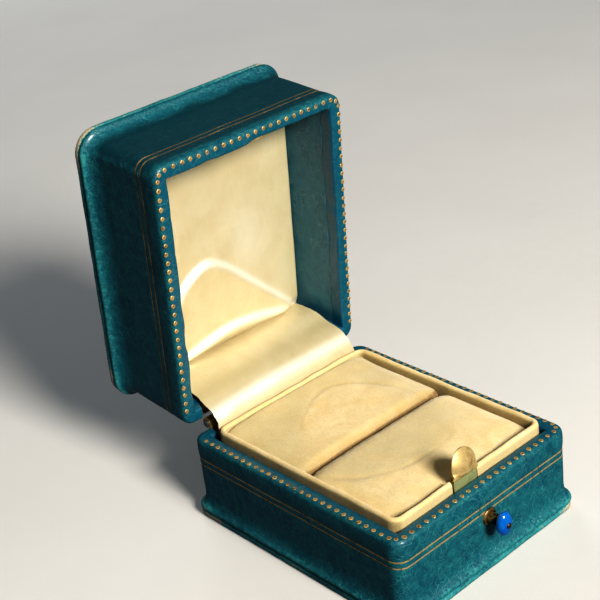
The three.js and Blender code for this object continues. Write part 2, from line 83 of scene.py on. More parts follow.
hinge = next(j for j in frame["record"]["behaviour"]["joints"] if j["name"] == "lid_hinge")
HINGE = np.array(hinge["pos_m"]) / MM
OPEN_ANGLE = math.radians(hinge["range_deg"][1])
LID_RIM = 2 * HINGE[2] - BASE_HEIGHT
LID_HEIGHT = 24.5
LID_TOP = LID_RIM + LID_HEIGHT
HINGE_HALF = box_mm("hinge_leaf_base")[1][0]

RNG = np.random.default_rng(1920)


def opened(points):
    """Points of the lid, drawn shut, where they are with the lid open."""
    p = np.asarray(points, float) - HINGE
    c, s = math.cos(-OPEN_ANGLE), math.sin(-OPEN_ANGLE)
    return np.stack([p[:, 0], c * p[:, 1] - s * p[:, 2], s * p[:, 1] + c * p[:, 2]], 1) + HINGE


def wobble(points, size, seed=0.0, octaves=1):
    """Smooth noise from -1 to 1 at points, with features of about size."""
    shift = Vector((seed * 7.3, seed * 3.1, seed * 5.7))
    out = np.zeros(len(points))
    for octave in range(octaves):
        scale = 2**octave / size
        out += [noise.noise(Vector(p) * scale + shift) / 2**octave for p in points]
    return out


def smooth(x, low, high):
    t = np.clip((np.asarray(x, float) - low) / (high - low), 0, 1)
    return t * t * (3 - 2 * t)


# ---- meshes ----
def new_mesh(name, points, faces, sharp_degrees=45.0):
    """A mesh object from points in millimetres."""
    mesh = bpy.data.meshes.new(name)
    mesh.from_pydata((np.asarray(points, float) * MM).tolist(), [], [list(map(int, f)) for f in faces])
    mesh.update()
    mesh.polygons.foreach_set("use_smooth", [True] * len(mesh.polygons))
    mesh.set_sharp_from_angle(angle=math.radians(sharp_degrees))
    obj = bpy.data.objects.new(name, mesh)
    bpy.context.scene.collection.objects.link(obj)
    return obj


def either_way_up(name, points, faces, lid, sharp_degrees):
    """A piece of either shell. The lid's is drawn shut and mirrored: its faces are turned, then it opens."""
    if lid:
        points, faces = opened(points), [f[::-1] for f in faces]
    return new_mesh(name, points, faces, sharp_degrees)


def point_value(obj, name, values):
    """A number for each point, for the materials to read."""
    attribute = obj.data.attributes.new(name, "FLOAT", "POINT")
    attribute.data.foreach_set("value", np.asarray(values, np.float32))


def loft_faces(rings, count, closed, caps=False):
    """Quads between rings of count points each. closed joins the last ring to the first."""
    faces = []
    for k in range(rings if closed else rings - 1):
        a, b = k * count, ((k + 1) % rings) * count
        for i in range(count):
            j = (i + 1) % count
            faces.append((a + i, a + j, b + j, b + i))
    if caps:
        faces.append(tuple(range(count))[::-1])
        faces.append(tuple(range((rings - 1) * count, rings * count)))
    return faces


def grid_faces(rows, columns, start=0, flip=False):
    faces = []
    for r in range(rows - 1):
        for c in range(columns - 1):
            a = start + r * columns + c
            face = (a, a + 1, a + columns + 1, a + columns)
            faces.append(face[::-1] if flip else face)
    return faces


def grid_border(rows, columns):
    """The outer points of a grid, in order round it."""
    border = list(range(columns))
    border += [r * columns + columns - 1 for r in range(1, rows)]
    border += [(rows - 1) * columns + c for c in range(columns - 2, -1, -1)]
    return border + [r * columns for r in range(rows - 2, 0, -1)]


def sheet_mesh(name, middle, thickness, sharp_degrees=60.0):
    """A closed sheet of even thickness round a grid of points, middle[row, column]."""
    rows, columns = middle.shape[:2]
    along = np.gradient(middle, axis=0)
    across = np.gradient(middle, axis=1)
    normal = np.cross(across, along)
    normal /= np.linalg.norm(normal, axis=2, keepdims=True)
    half = thickness / 2
    top = (middle + normal * half).reshape(-1, 3)
    bottom = (middle - normal * half).reshape(-1, 3)
    size = rows * columns
    faces = grid_faces(rows, columns, 0, True) + grid_faces(rows, columns, size)
    border = grid_border(rows, columns)
    for i, a in enumerate(border):
        b = border[(i + 1) % len(border)]
        faces.append((a, b, b + size, a + size))
    return new_mesh(name, np.concatenate([top, bottom]), faces, sharp_degrees)


def rounded_loop(half_x, half_y, radius, middle_y=0.0, steps=(52, 62, 9)):
    """Points round a rounded rectangle, anticlockwise from its +x +y corner."""
    nx, ny, nc = steps
    r = max(radius, 0.15)
    points = []
    corners = [(1, 1, 0), (-1, 1, 90), (-1, -1, 180), (1, -1, 270)]
    for k, (sx, sy, start) in enumerate(corners):
        centre = np.array([sx * (half_x - r), sy * (half_y - r)])
        arc = [
            centre + r * np.array([math.cos(math.radians(a)), math.sin(math.radians(a))])
            for a in np.linspace(start, start + 90, nc + 1)
        ]
        points += arc
        straight = 2 * (half_x - r) if k % 2 == 0 else 2 * (half_y - r)
        count = nx if k % 2 == 0 else ny
        way = np.array([(-1, 0), (0, -1), (1, 0), (0, 1)][k], float)
        points += [arc[-1] + way * straight * i / count for i in range(1, count)]
    out = np.array(points)
    out[:, 1] += middle_y
    return out


def cut(obj, cutters):
    """Takes boxes and bars out of a closed mesh, then drops the cutters."""
    for cutter in cutters:
        modifier = obj.modifiers.new("cut", "BOOLEAN")
        modifier.operation = "DIFFERENCE"
        modifier.solver = "EXACT"
        modifier.object = cutter
    bpy.context.view_layer.update()
    graph = bpy.context.evaluated_depsgraph_get()
    mesh = bpy.data.meshes.new_from_object(obj.evaluated_get(graph))
    obj.modifiers.clear()
    obj.data = mesh
    for cutter in cutters:
        bpy.data.objects.remove(cutter)
    mesh.set_sharp_from_angle(angle=math.radians(45))


def box_cutter(low, high, turn=False):
    low, high = np.array(low, float), np.array(high, float)
    corners = np.array([[x, y, z] for z in (0, 1) for y in (0, 1) for x in (0, 1)])
    points = low + corners * (high - low)
    faces = [(0, 2, 3, 1), (4, 5, 7, 6), (0, 1, 5, 4), (2, 6, 7, 3), (0, 4, 6, 2), (1, 3, 7, 5)]
    return new_mesh("cutter", opened(points) if turn else points, faces)


def bar_cutter(x, z, radius, from_y, to_y, sides=32):
    turn = np.linspace(0, 2 * math.pi, sides, endpoint=False)
    ring = np.stack([x + radius * np.sin(turn), 0 * turn, z + radius * np.cos(turn)], 1)
    points = np.concatenate([ring + (0, from_y, 0), ring + (0, to_y, 0)])
    return new_mesh("cutter", points, loft_faces(2, sides, False, True))


def lathe(name, profile, centre, sides=32):
    """A piece turned about a line along y: profile holds (distance from the line, place along it)."""
    points, rings = [], []
    for radius, along in profile:
        if radius < 1e-6:
            rings.append([len(points)])
            points.append((0, along, 0))
            continue
        rings.append(list(range(len(points), len(points) + sides)))
        for k in range(sides):
            a = 2 * math.pi * k / sides
            points.append((radius * math.sin(a), along, radius * math.cos(a)))
    faces = []
    for lower, upper in zip(rings, rings[1:]):
        for k in range(sides):
            j = (k + 1) % sides
            if len(lower) == 1:
                faces.append((lower[0], upper[j], upper[k]))
            elif len(upper) == 1:
                faces.append((lower[k], lower[j], upper[0]))
            else:
                faces.append((lower[k], lower[j], upper[j], upper[k]))
    return new_mesh(name, np.array(points, float) + np.array(centre, float), faces, 50)


# ---- materials ----
class Finish:
    """A node material under construction. Coordinates are the piece's own, in millimetres."""

    def __init__(self, name):
        self.material = bpy.data.materials.new(name)
        self.material.use_nodes = True
        self.tree = self.material.node_tree
        self.shader = self.tree.nodes["Principled BSDF"]
        source = self.node("ShaderNodeTexCoord").outputs["Object"]
        self.place = self.mapped(source, 1 / MM)

    def node(self, kind, **values):
        made = self.tree.nodes.new(kind)
        for key, value in values.items():
            setattr(made, key, value)
        return made

    def link(self, source, target):
        self.tree.links.new(source, target)

    def feed(self, item, socket):
        """Gives a socket a colour, a number or the output of another node."""
        if isinstance(item, tuple):
            socket.default_value = (*item, 1)
        elif isinstance(item, (int, float)):
            socket.default_value = item
        else:
            self.link(item, socket)

    def mapped(self, source, scale, turn=(0, 0, 0), place=(0, 0, 0)):
        mapping = self.node("ShaderNodeMapping")
        mapping.inputs["Scale"].default_value = (scale,) * 3 if np.isscalar(scale) else scale
        mapping.inputs["Rotation"].default_value = [math.radians(a) for a in turn]
        mapping.inputs["Location"].default_value = place
        self.link(source, mapping.inputs["Vector"])
        return mapping.outputs["Vector"]

    def noise(self, scale, detail=2.0, rough=0.5, source=None, warp=0.0):
        made = self.node("ShaderNodeTexNoise")
        made.inputs["Scale"].default_value = scale
        made.inputs["Detail"].default_value = detail
        made.inputs["Roughness"].default_value = rough
        made.inputs["Distortion"].default_value = warp
        self.link(source or self.place, made.inputs["Vector"])
        return made.outputs["Fac"]

    def cells(self, scale, feature="F1", source=None):
        made = self.node("ShaderNodeTexVoronoi", feature=feature)
        made.inputs["Scale"].default_value = scale
        self.link(source or self.place, made.inputs["Vector"])
        return made.outputs["Distance"]

    def bent(self, scale, amount):
        """The coordinates, pushed about by noise so that cells and lines don't run straight."""
        made = self.node("ShaderNodeTexNoise")
        made.inputs["Scale"].default_value = scale
        self.link(self.place, made.inputs["Vector"])
        step = self.node("ShaderNodeVectorMath", operation="SCALE")
        step.inputs["Scale"].default_value = amount
        self.link(made.outputs["Color"], step.inputs[0])
        total = self.node("ShaderNodeVectorMath", operation="ADD")
        self.link(self.place, total.inputs[0])
        self.link(step.outputs["Vector"], total.inputs[1])
        return total.outputs["Vector"]

    def value(self, name):
        return self.node("ShaderNodeAttribute", attribute_name=name).outputs["Fac"]

    def math(self, operation, a, b, clamp=False):
        made = self.node("ShaderNodeMath", operation=operation, use_clamp=clamp)
        for socket, item in zip(made.inputs, (a, b)):
            self.feed(item, socket)
        return made.outputs["Value"]

    def band(self, source, low=0.3, high=0.7, out_low=0.0, out_high=1.0):
        """source from low to high, spread smoothly over out_low to out_high."""
        made = self.node("ShaderNodeMapRange", interpolation_type="SMOOTHSTEP")
        for key, item in zip(("From Min", "From Max", "To Min", "To Max"), (low, high, out_low, out_high)):
            made.inputs[key].default_value = item
        self.link(source, made.inputs["Value"])
        return made.outputs["Result"]

    def colour(self, factor, a, b):
        made = self.node("ShaderNodeMix", data_type="RGBA")
        self.link(factor, made.inputs["Factor"])
        for socket, item in zip(made.inputs[6:8], (a, b)):
            self.feed(item, socket)
        return made.outputs[2]

    def bump(self, height, depth, strength=1.0, under=None):
        """Relief of depth millimetres."""
        made = self.node("ShaderNodeBump")
        made.inputs["Strength"].default_value = strength
        made.inputs["Distance"].default_value = depth * MM
        self.link(height, made.inputs["Height"])
        if under:
            self.link(under, made.inputs["Normal"])
        return made.outputs["Normal"]

    def finish(self, colour, roughness, normal, metallic=0.0, **fixed):
        names = {"Base Color": colour, "Roughness": roughness, "Normal": normal, "Metallic": metallic}
        for key, item in names.items():
            self.feed(item, self.shader.inputs[key])
        for key, item in fixed.items():
            self.shader.inputs[key.replace("_", " ")].default_value = item
        return self.material


def leather():
    """Dyed crushed-grain leather: veins, pebbles and scratches. Where wear is high it is rubbed pale,
    where wear is below zero its dye is deeper, and where fresh is high its dye is bluer."""
    f = Finish("leather")
    bent = f.bent(0.5, 2.4)
    broad = f.noise(0.08, 3, 0.55, warp=0.6)
    mottle = f.noise(0.55, 5, 0.65, bent)
    pebbles = f.noise(2.1, 4, 0.75)
    veins = f.band(f.cells(0.40, "DISTANCE_TO_EDGE", bent), 0.0, 0.035, 1.0, 0.0)
    fine_veins = f.band(f.cells(1.0, "DISTANCE_TO_EDGE", bent), 0.0, 0.06, 1.0, 0.0)
    patches = f.band(f.noise(0.13, 2, source=f.mapped(f.place, 1.0, place=(31, 7, 3))), 0.32, 0.52)
    teal = f.colour(f.band(broad, 0.35, 0.65), (0.003, 0.064, 0.098), (0.005, 0.092, 0.124))
    teal = f.colour(f.band(mottle, 0.36, 0.68), teal, (0.011, 0.128, 0.152))
    teal = f.colour(f.band(pebbles, 0.50, 0.72, 0.0, 0.42), teal, (0.020, 0.180, 0.205))
    teal = f.colour(f.band(pebbles, 0.50, 0.30, 0.0, 0.38), teal, (0.001, 0.034, 0.052))
    all_veins = f.math("ADD", veins, f.math("MULTIPLY", fine_veins, 0.5))
    vein_share = f.math("MULTIPLY", all_veins, patches, True)
    teal = f.colour(f.math("MULTIPLY", vein_share, 0.46), teal, (0.060, 0.275, 0.290))
    scratch_place = f.mapped(f.place, (0.10, 1.6, 1.6), (18, 0, 38))
    scratches = f.band(f.noise(1.4, 2, 0.6, scratch_place), 0.67, 0.73)
    cross_place = f.mapped(f.place, (1.7, 0.12, 1.7), (-24, 12, -31), (5, 9, 2))
    crossing = f.band(f.noise(1.3, 2, 0.6, cross_place), 0.68, 0.74)
    marks = f.math("MULTIPLY", f.math("MAXIMUM", scratches, crossing), 0.24)
    teal = f.colour(marks, teal, (0.07, 0.27, 0.27))
    teal = f.colour(f.value("fresh"), teal, (0.001, 0.078, 0.150))
    wear = f.value("wear")
    teal = f.colour(f.band(wear, -0.05, -0.45, 0.0, 0.85), teal, (0.001, 0.036, 0.050))
    rubbed = f.math("ADD", wear, f.math("MULTIPLY", f.math("SUBTRACT", f.noise(1.1, 4, 0.7), 0.5), 1.5))
    teal = f.colour(f.band(rubbed, 0.40, 0.95, 0, 0.85), teal, (0.045, 0.300, 0.305))
    bare = f.math("ADD", wear, f.math("MULTIPLY", f.math("SUBTRACT", f.noise(1.9, 3, 0.7), 0.5), 1.7))
    teal = f.colour(f.band(bare, 1.00, 1.25), teal, (0.50, 0.42, 0.29))
    grain = f.math("ADD", f.cells(2.8, "SMOOTH_F1", bent), f.math("MULTIPLY", pebbles, 0.8))
    relief = f.bump(grain, 0.06, 0.8)
    relief = f.bump(f.math("SUBTRACT", f.math("MULTIPLY", mottle, 0.8), veins), 0.07, 0.6, relief)
    rough = f.band(pebbles, 0.3, 0.7, 0.34, 0.50)
    return f.finish(teal, rough, relief, Specular_IOR_Level=0.42, Coat_Weight=0.30, Coat_Roughness=0.16)


def gilt():
    """Gold leaf stamped into the leather, rubbed away here and there."""
    f = Finish("gilt")
    rubbed = f.math("ADD", f.noise(1.3, 4, 0.7), f.math("MULTIPLY", f.noise(0.12, 2), 0.35))
    gone = f.math("MAXIMUM", f.band(rubbed, 0.68, 0.82), f.value("rubbed_off"))
    tone = f.colour(f.band(f.noise(2.6, 2)), (0.46, 0.31, 0.12), (0.62, 0.45, 0.21))
    tone = f.colour(gone, tone, (0.115, 0.07, 0.03))
    metal = f.math("SUBTRACT", 0.45, f.math("MULTIPLY", gone, 0.45))
    relief = f.bump(f.noise(4.0, 3, 0.6), 0.05, 0.8)
    return f.finish(tone, f.band(f.noise(3.0, 2), 0.3, 0.7, 0.36, 0.55), relief, metal)


def velvet():
    """Short-piled cotton velvet. Its grey mark is partly pile brushed the other way and partly painted
    shade; its brown mark is partly stains from handling and partly painted shade.
    """
    f = Finish("velvet")
    pile = f.noise(6.0, 3, 0.7)
    tufts = f.noise(3.0, 4, 0.8, warp=0.4)
    brushed = f.noise(1.0, 4, 0.7, f.mapped(f.place, (1.0, 0.55, 0.5), (0, 0, 35)))
    patches = f.noise(0.16, 3, 0.55, warp=0.8)
    tone = f.colour(f.band(patches), (0.76, 0.58, 0.28), (0.82, 0.67, 0.38))
    # Greyer: partly pile lying the other way, partly painted shade on the collar and on the pads.
    tone = f.colour(f.value("nap_and_shade"), tone, (0.52, 0.44, 0.235))
    # Brown: stains in the pads' creases, and painted shade on the collar, on the pads' lips at the slot and
    # down inside the slot.
    tone = f.colour(f.value("stain"), tone, (0.20, 0.115, 0.035))
    tone = f.colour(f.band(brushed, 0.42, 0.72, 0.0, 0.28), tone, (0.58, 0.44, 0.21))
    tone = f.colour(f.band(tufts, 0.50, 0.72, 0.0, 0.50), tone, (0.44, 0.32, 0.14))
    tone = f.colour(f.band(tufts, 0.46, 0.26, 0.0, 0.45), tone, (0.92, 0.80, 0.52))
    relief = f.bump(pile, 0.10, 0.7)
    relief = f.bump(tufts, 0.22, 0.7, relief)
    return f.finish(tone, 0.95, relief, Specular_IOR_Level=0.15, Sheen_Weight=0.35, Sheen_Roughness=0.4)


def satin():
    f = Finish("satin")
    threads = f.node("ShaderNodeTexWave", bands_direction="X", wave_profile="SIN")
    threads.inputs["Scale"].default_value = 1.9
    threads.inputs["Distortion"].default_value = 0.6
    f.link(f.place, threads.inputs["Vector"])
    slubs = f.noise(1.6, 3, 0.6, f.mapped(f.place, (1.0, 0.10, 0.10)))
    aged = f.noise(0.12, 3, 0.6, warp=0.5)
    tone = f.colour(f.band(aged, 0.3, 0.72), (0.66, 0.565, 0.35), (0.71, 0.63, 0.42))
    tone = f.colour(f.band(f.noise(0.5, 3, 0.6), 0.60, 0.80, 0.0, 0.35), tone, (0.55, 0.42, 0.20))
    tone = f.colour(f.band(slubs, 0.45, 0.75, 0.0, 0.25), tone, (0.76, 0.67, 0.46))
    # Painted shade in the crease at the hinge cover, in the cover's valley and under the panel's edge.
    tone = f.colour(f.value("shade"), tone, (0.40, 0.33, 0.17))
    # Painted highlights along the satin's folds and across the hinge cover.
    tone = f.colour(f.value("painted_highlight"), tone, (0.98, 0.95, 0.82))
    relief = f.bump(threads.outputs["Fac"], 0.010, 0.5)
    relief = f.bump(slubs, 0.02, 0.5, relief)
    relief = f.bump(f.noise(0.35, 2), 0.25, 0.35, relief)
    rough = f.band(f.noise(2.0, 2), 0.3, 0.7, 0.31, 0.37)
    return f.finish(tone, rough, relief, 0.3, Specular_IOR_Level=0.9, Sheen_Weight=0.1, Sheen_Roughness=0.3)


def brass(name, worn=(0.84, 0.63, 0.29), dull=(0.42, 0.27, 0.10), tarnish=0.45):
    f = Finish(name)
    stain = f.noise(0.55, 4, 0.65, warp=0.7)
    tone = f.colour(f.band(stain, tarnish, tarnish + 0.25), worn, dull)
    tone = f.colour(f.band(f.noise(2.6, 4, 0.75), 0.60, 0.80, 0, 0.35), tone, (0.12, 0.12, 0.05))
    # Painted reflection: the catch's lower strip tinted green as if mirroring the teal leather.
    tone = f.colour(f.value("teal_reflection"), tone, (0.36, 0.50, 0.27))
    lines = f.noise(2.2, 2, 0.6, f.mapped(f.place, (0.25, 2.5, 2.5), (0, 24, 10)))
    relief = f.bump(lines, 0.006, 0.5)
    relief = f.bump(f.noise(0.7, 2), 0.05, 0.25, relief)
    return f.finish(tone, f.band(stain, 0.35, 0.7, 0.28, 0.42), relief, 0.62, Specular_IOR_Level=0.7)


def steel():
    f = Finish("steel")
    rust = f.noise(0.9, 4, 0.7)
    tone = f.colour(f.band(rust, 0.50, 0.66), (0.42, 0.41, 0.40), (0.22, 0.12, 0.06))
    relief = f.bump(f.noise(3.2, 2, 0.6, f.mapped(f.place, (0.2, 3.0, 3.0))), 0.02, 0.5)
    return f.finish(tone, f.band(rust, 0.4, 0.7, 0.30, 0.6), relief, 0.95)


def bead_glass():
    f = Finish("bead_glass")
    swirl = f.noise(0.55, 3, 0.5, f.mapped(f.place, (1.0, 1.0, 0.5)), 1.2)
    tone = f.colour(f.band(swirl), (0.0, 0.085, 0.36), (0.002, 0.15, 0.52))
    relief = f.bump(f.noise(0.7, 2), 0.05, 0.25)
    rough = f.band(f.noise(1.4, 3), 0.3, 0.75, 0.06, 0.16)
    return f.finish(tone, rough, relief, Specular_IOR_Level=0.6, Coat_Weight=0.6, Coat_Roughness=0.05)


def lining_paper():
    f = Finish("lining_paper")
    bent = f.bent(0.5, 2.4)
    veins = f.band(f.cells(0.42, "DISTANCE_TO_EDGE", bent), 0.0, 0.05, 1.0, 0.0)
    patches = f.band(f.noise(0.12, 2), 0.42, 0.60)
    mottle = f.noise(0.35, 5, 0.65, bent)
    tone = f.colour(f.band(mottle), (0.018, 0.104, 0.172), (0.042, 0.160, 0.228))
    tone = f.colour(f.math("MULTIPLY", f.math("MULTIPLY", veins, patches), 0.75), tone, (0.105, 0.24, 0.27))
    relief = f.bump(f.math("SUBTRACT", f.cells(2.6, "SMOOTH_F1", bent), veins), 0.05, 0.6)
    return f.finish(tone, f.band(mottle, 0.3, 0.7, 0.42, 0.58), relief, Specular_IOR_Level=0.4)


def basswood():
    f = Finish("basswood")
    long_grain = f.mapped(f.place, (0.06, 0.9, 0.9))
    rings = f.noise(1.0, 4, 0.6, long_grain, 0.8)
    tone = f.colour(f.band(rings), (0.56, 0.40, 0.23), (0.40, 0.26, 0.13))
    pores = f.noise(4.0, 2, 0.6, f.mapped(f.place, (0.15, 2.0, 2.0)))
    tone = f.colour(f.band(pores, 0.60, 0.75, 0, 0.5), tone, (0.22, 0.13, 0.06))
    return f.finish(tone, f.band(rings, 0.3, 0.7, 0.6, 0.8), f.bump(pores, 0.05, 0.6))


def pasteboard():
    f = Finish("pasteboard")
    fibres = f.noise(2.4, 4, 0.7, f.mapped(f.place, (0.5, 1.0, 1.0), (0, 0, 20)))
    tone = f.colour(f.band(fibres), (0.42, 0.34, 0.22), (0.56, 0.48, 0.34))
    return f.finish(tone, f.band(fibres, 0.3, 0.7, 0.8, 0.95), f.bump(fibres, 0.06, 0.6))


def floor_paint():
    f = Finish("floor_paint")
    tone = f.colour(f.noise(0.02, 3), (0.66, 0.65, 0.63), (0.72, 0.71, 0.69))
    return f.finish(tone, f.band(f.noise(0.3, 3), 0.3, 0.7, 0.7, 0.85), f.bump(f.noise(1.5, 3), 0.05, 0.3))


MATERIALS = {
    "leather": leather(),
    "wood": basswood(),
    "card": pasteboard(),
    "lining_paper": lining_paper(),
    "velvet": velvet(),
    "satin": satin(),
    "brass": brass("brass"),
    # Near-black brass: the pin head's own brown; on the eyelet and the stem partly dark patina, partly
    # painted shade cast by the bead.
    "dark_brass": brass("dark_brass", (0.34, 0.22, 0.08), (0.035, 0.024, 0.010), 0.34),
    "steel": steel(),
    "bead_glass": bead_glass(),
    "gilt": gilt(),
}


def dress(obj, material):
    obj.data.materials.clear()
    obj.data.materials.append(MATERIALS[material])


def place(obj, slot, body, *nodes, material=None):
    """Gives a finished piece its material and its body, and hides the CAD nodes it stands for."""
    dress(obj, material or slot)
    if body:
        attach(obj, body)
    if nodes:
        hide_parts(*nodes)
    return obj


# ---- camera first, then light and floor ----
CAMERA_PLACE = (-166.2, -180.7, 177.1)
CAMERA_AZIMUTH = -39.74
CAMERA_ELEVATION = 26.9
CAMERA_ROLL = -7.17
FOCAL_SHARE = 2.2908  # focal length over sensor width
FLOOR_HALF = 4000


def add_camera():
    az, el, roll = (math.radians(a) for a in (CAMERA_AZIMUTH, CAMERA_ELEVATION, CAMERA_ROLL))
    back = Vector((math.sin(az) * math.cos(el), -math.cos(az) * math.cos(el), math.sin(el)))
    right = Vector((0, 0, 1)).cross(back).normalized()
    up = back.cross(right)
    level, tilted = right.copy(), up.copy()
    right = math.cos(roll) * level + math.sin(roll) * tilted
    up = math.cos(roll) * tilted - math.sin(roll) * level
    data = bpy.data.cameras.new("camera")
    data.sensor_width = 36
    data.lens = data.sensor_width * FOCAL_SHARE
    data.clip_start = 0.01
    camera = bpy.data.objects.new("camera", data)
    turn = Matrix((right, up, back)).transposed().to_4x4()
    camera.matrix_world = Matrix.Translation(Vector(CAMERA_PLACE) * MM) @ turn
    bpy.context.scene.collection.objects.link(camera)
    bpy.context.scene.camera = camera


def add_area(name, toward, distance, size, power, colour, glossy=True, aim=(0, 10, 30)):
    data = bpy.data.lights.new(name, "AREA")
    data.shape = "DISK"
    data.size = size
    data.energy = power
    data.color = colour
    lamp = bpy.data.objects.new(name, data)
    way = Vector(toward).normalized()
    lamp.location = Vector(aim) * MM + way * distance
    lamp.rotation_euler = way.to_track_quat("Z", "Y").to_euler()
    lamp.visible_glossy = glossy
    bpy.context.scene.collection.objects.link(lamp)


def add_lights():
    world = bpy.data.worlds.new("studio")
    world.use_nodes = True
    sky = world.node_tree.nodes["Background"]
    sky.inputs["Color"].default_value = (0.80, 0.90, 1.0, 1)
    sky.inputs["Strength"].default_value = 0.085
    bpy.context.scene.world = world
    add_area("key_light", (-0.09, -0.845, 0.525), 0.9, 0.30, 11.5, (1.0, 0.95, 0.87))
    add_area("back_light", (0.40, 0.88, 0.28), 1.2, 0.7, 5.0, (0.94, 0.97, 1.0), False)
    bpy.context.scene.view_settings.view_transform = "Standard"
    bpy.context.scene.view_settings.look = "High Contrast"


def add_floor():
    corners = [(x * FLOOR_HALF, y * FLOOR_HALF, 0) for x, y in ((-1, -1), (1, -1), (1, 1), (-1, 1))]
    floor = new_mesh("floor", corners, [(0, 1, 2, 3)])
    floor.data.materials.append(floor_paint())
    floor.visible_diffuse = False
    floor.visible_glossy = False


# ---- leather shells ----
FILLETS = (4.75, 6.2)  # the two gilt lines, down from the rim


def shell_outline(height, reach):
    """Outer face of a shell as (reach beyond the wall, height from the plate's outside, wear)."""
    cove_foot = PLATE + 1.1
    cove_top = cove_foot + 1.9 + reach
    rows = [(reach - 0.5, PLATE + 0.06, 0.1), (reach - 0.14, PLATE + 0.14, 0.3)]
    rows += [(reach - back, PLATE + rise, 0.72) for back, rise in ((0, 0.42), (0.02, 0.7), (0.1, 0.95))]
    for step in range(1, 11):
        a = math.radians(90 * step / 10)
        wear = 0.66 - 0.75 * step / 10
        rows.append((reach * (1 - math.sin(a)), cove_top - (cove_top - cove_foot) * math.cos(a), wear))
    grooves = [height - depth + rise for depth in FILLETS[::-1] for rise in (-0.35, 0.0, 0.35)]
    rows += [(0.0, h, 0.0) for h in np.linspace(cove_top + 0.9, grooves[0] - 0.5, 7)]
    rows += [(dip, h, 0.0) for h, dip in zip(grooves, (0.0, -0.09, 0.0) * 2)]
    rows += [(0.06, height - 3.4, 0.0), (0.08, height - 2.4, 0.0), (0.05, height - 1.5, 0.05)]
    for step in range(7):
        a = math.radians(90 * step / 6)
        rows.append((math.cos(a) - 1, height - 1.0 + math.sin(a), 0.28 if 1 < step < 6 else 0.1))
    return rows


def rim_and_inside(height):
    """The rim, the leather turned in under it and the hidden inner face of the skin."""
    inner = -WALL_INSET
    rows = [(-1.6, height + 0.02, 0.0), (-2.2, height + 0.02, 0.0)]
    for step in range(5):
        a = math.radians(90 * step / 4)
        rows.append((inner + 0.55 * (1 - math.sin(a)), height - 0.55 * (1 - math.cos(a)), 0.15))
    rows += [(inner, height - h, 0.0) for h in (1.2, 2.2, TURN_IN)]
    rows += [(inner + SKIN, height - TURN_IN, 0.0), (inner + SKIN, height - SKIN - 0.1, 0.0)]
    rows += [(-SKIN - 0.7, height - SKIN - 0.1, 0.0), (-SKIN, height - SKIN - 0.7, 0.0)]
    return rows


def rim_unevenness(points):
    return wobble(points, 6.0, 3.0) * 0.05


def outward_of(points):
    """Directions away from the upright line through the origin, in plan."""
    return points[:, :2] / (np.linalg.norm(points[:, :2], axis=1, keepdims=True) + 1e-9)


def corner_share(points):
    return smooth(np.abs(points[:, 0]) / HALF_X + np.abs(points[:, 1]) / HALF_Y, 1.72, 1.98)


def wall_swell(points):
    """How far the leather stands off the true wall."""
    return wobble(points, 9.0, 1.0, 2) * 0.07 + wobble(points, 2.6, 2.0) * 0.025


def stacked_loops(rows, radius_of, lid):
    """Points round the box for each (reach, height, wear) row, their wear, and the count in a loop."""
    loops, wear = [], []
    for reach, h, row_wear in rows:
        loop = rounded_loop(HALF_X + reach, HALF_Y + reach, radius_of(reach))
        loops.append(np.column_stack([loop, np.full(len(loop), LID_TOP - h if lid else h)]))
        wear.append(np.full(len(loop), row_wear))
    return np.concatenate(loops), np.concatenate(wear), len(loops[0])


def flare_radius(reach, brim, brim_radius):
    share = max(0.0, reach) / brim
    return WALL_RADIUS + min(0.0, reach) + share * (brim_radius - WALL_RADIUS)


def shell_skin(name, height, brim, brim_radius, lid, rim_wave=0.0):
    """One shell's leather as a closed skin. The lid's is drawn shut and upside down, then opened."""
    outer = shell_outline(height, brim)
    rows = outer + rim_and_inside(height)
    rows += [(r - SKIN, h, 0.0) for r, h, _ in outer if h < height - 1.2][::-2]
    points, wear, count = stacked_loops(rows, lambda reach: flare_radius(reach, brim, brim_radius), lid)
    by_row = [float(smooth(-reach, 2.2, 3.0)) * float(h > height - TURN_IN - 0.1) for reach, h, _ in rows]
    inner_edge = np.repeat(by_row, count)
    outward = outward_of(points)
    points[:, :2] += outward * wall_swell(points)[:, None]
    wave = wobble(points * (1, 1, 0.2), 5.0, 4.0, 2) * rim_wave * inner_edge
    if lid:
        at_front = smooth(-points[:, 1], HALF_Y - 5, HALF_Y - 4) * (np.abs(points[:, 0]) < HALF_X - 4)
        bulge = 0.25 * np.exp(-(((points[:, 0] + 5) / 4) ** 2))
        wave -= at_front * inner_edge * (0.42 * smooth(points[:, 0], -2.0, 1.2) - bulge)
    points[:, :2] -= outward * np.clip(wave, -0.6, 0.08)[:, None]
    points[:, 2] += rim_unevenness(points)
    near_corner = corner_share(points)
    wear = wear * (0.85 + 0.35 * near_corner)
    wear += 0.25 * wobble(points, 7.0, 5.0) * (wear > 0.05)
    from_rim = np.abs(points[:, 2] - (LID_RIM if lid else height))
    if lid:
        wear -= 0.36 * smooth(-points[:, 1], HALF_Y - 2.5, HALF_Y - 1.0) * smooth(from_rim, 1.0, 2.0)
    beyond = np.maximum(np.abs(points[:, 0]) - HALF_X, np.abs(points[:, 1]) - HALF_Y)
    fresh = np.maximum(0.45 * smooth(-beyond, 0.6, 1.2), 0.92 * smooth(-beyond, 2.7, 3.1))
    skin = either_way_up(name, points, loft_faces(len(rows), count, True), lid, 45)
    point_value(skin, "wear", wear)
    point_value(skin, "fresh", fresh)
    return skin


FERRULE_X, FERRULE_Z = 0.0, 11.7
NOTCH_HALF = HINGE_HALF + 0.8


def hinge_cutters(turn):
    notch = box_cutter((-NOTCH_HALF, 27.0, BASE_HEIGHT - 1.6), (NOTCH_HALF, 33.5, LID_RIM + 1.6), turn)
    inlay = box_cutter((-NOTCH_HALF, HALF_Y - SKIN - 0.05, 12.0), (NOTCH_HALF, 33.5, 27.2), turn)
    return [notch, inlay]


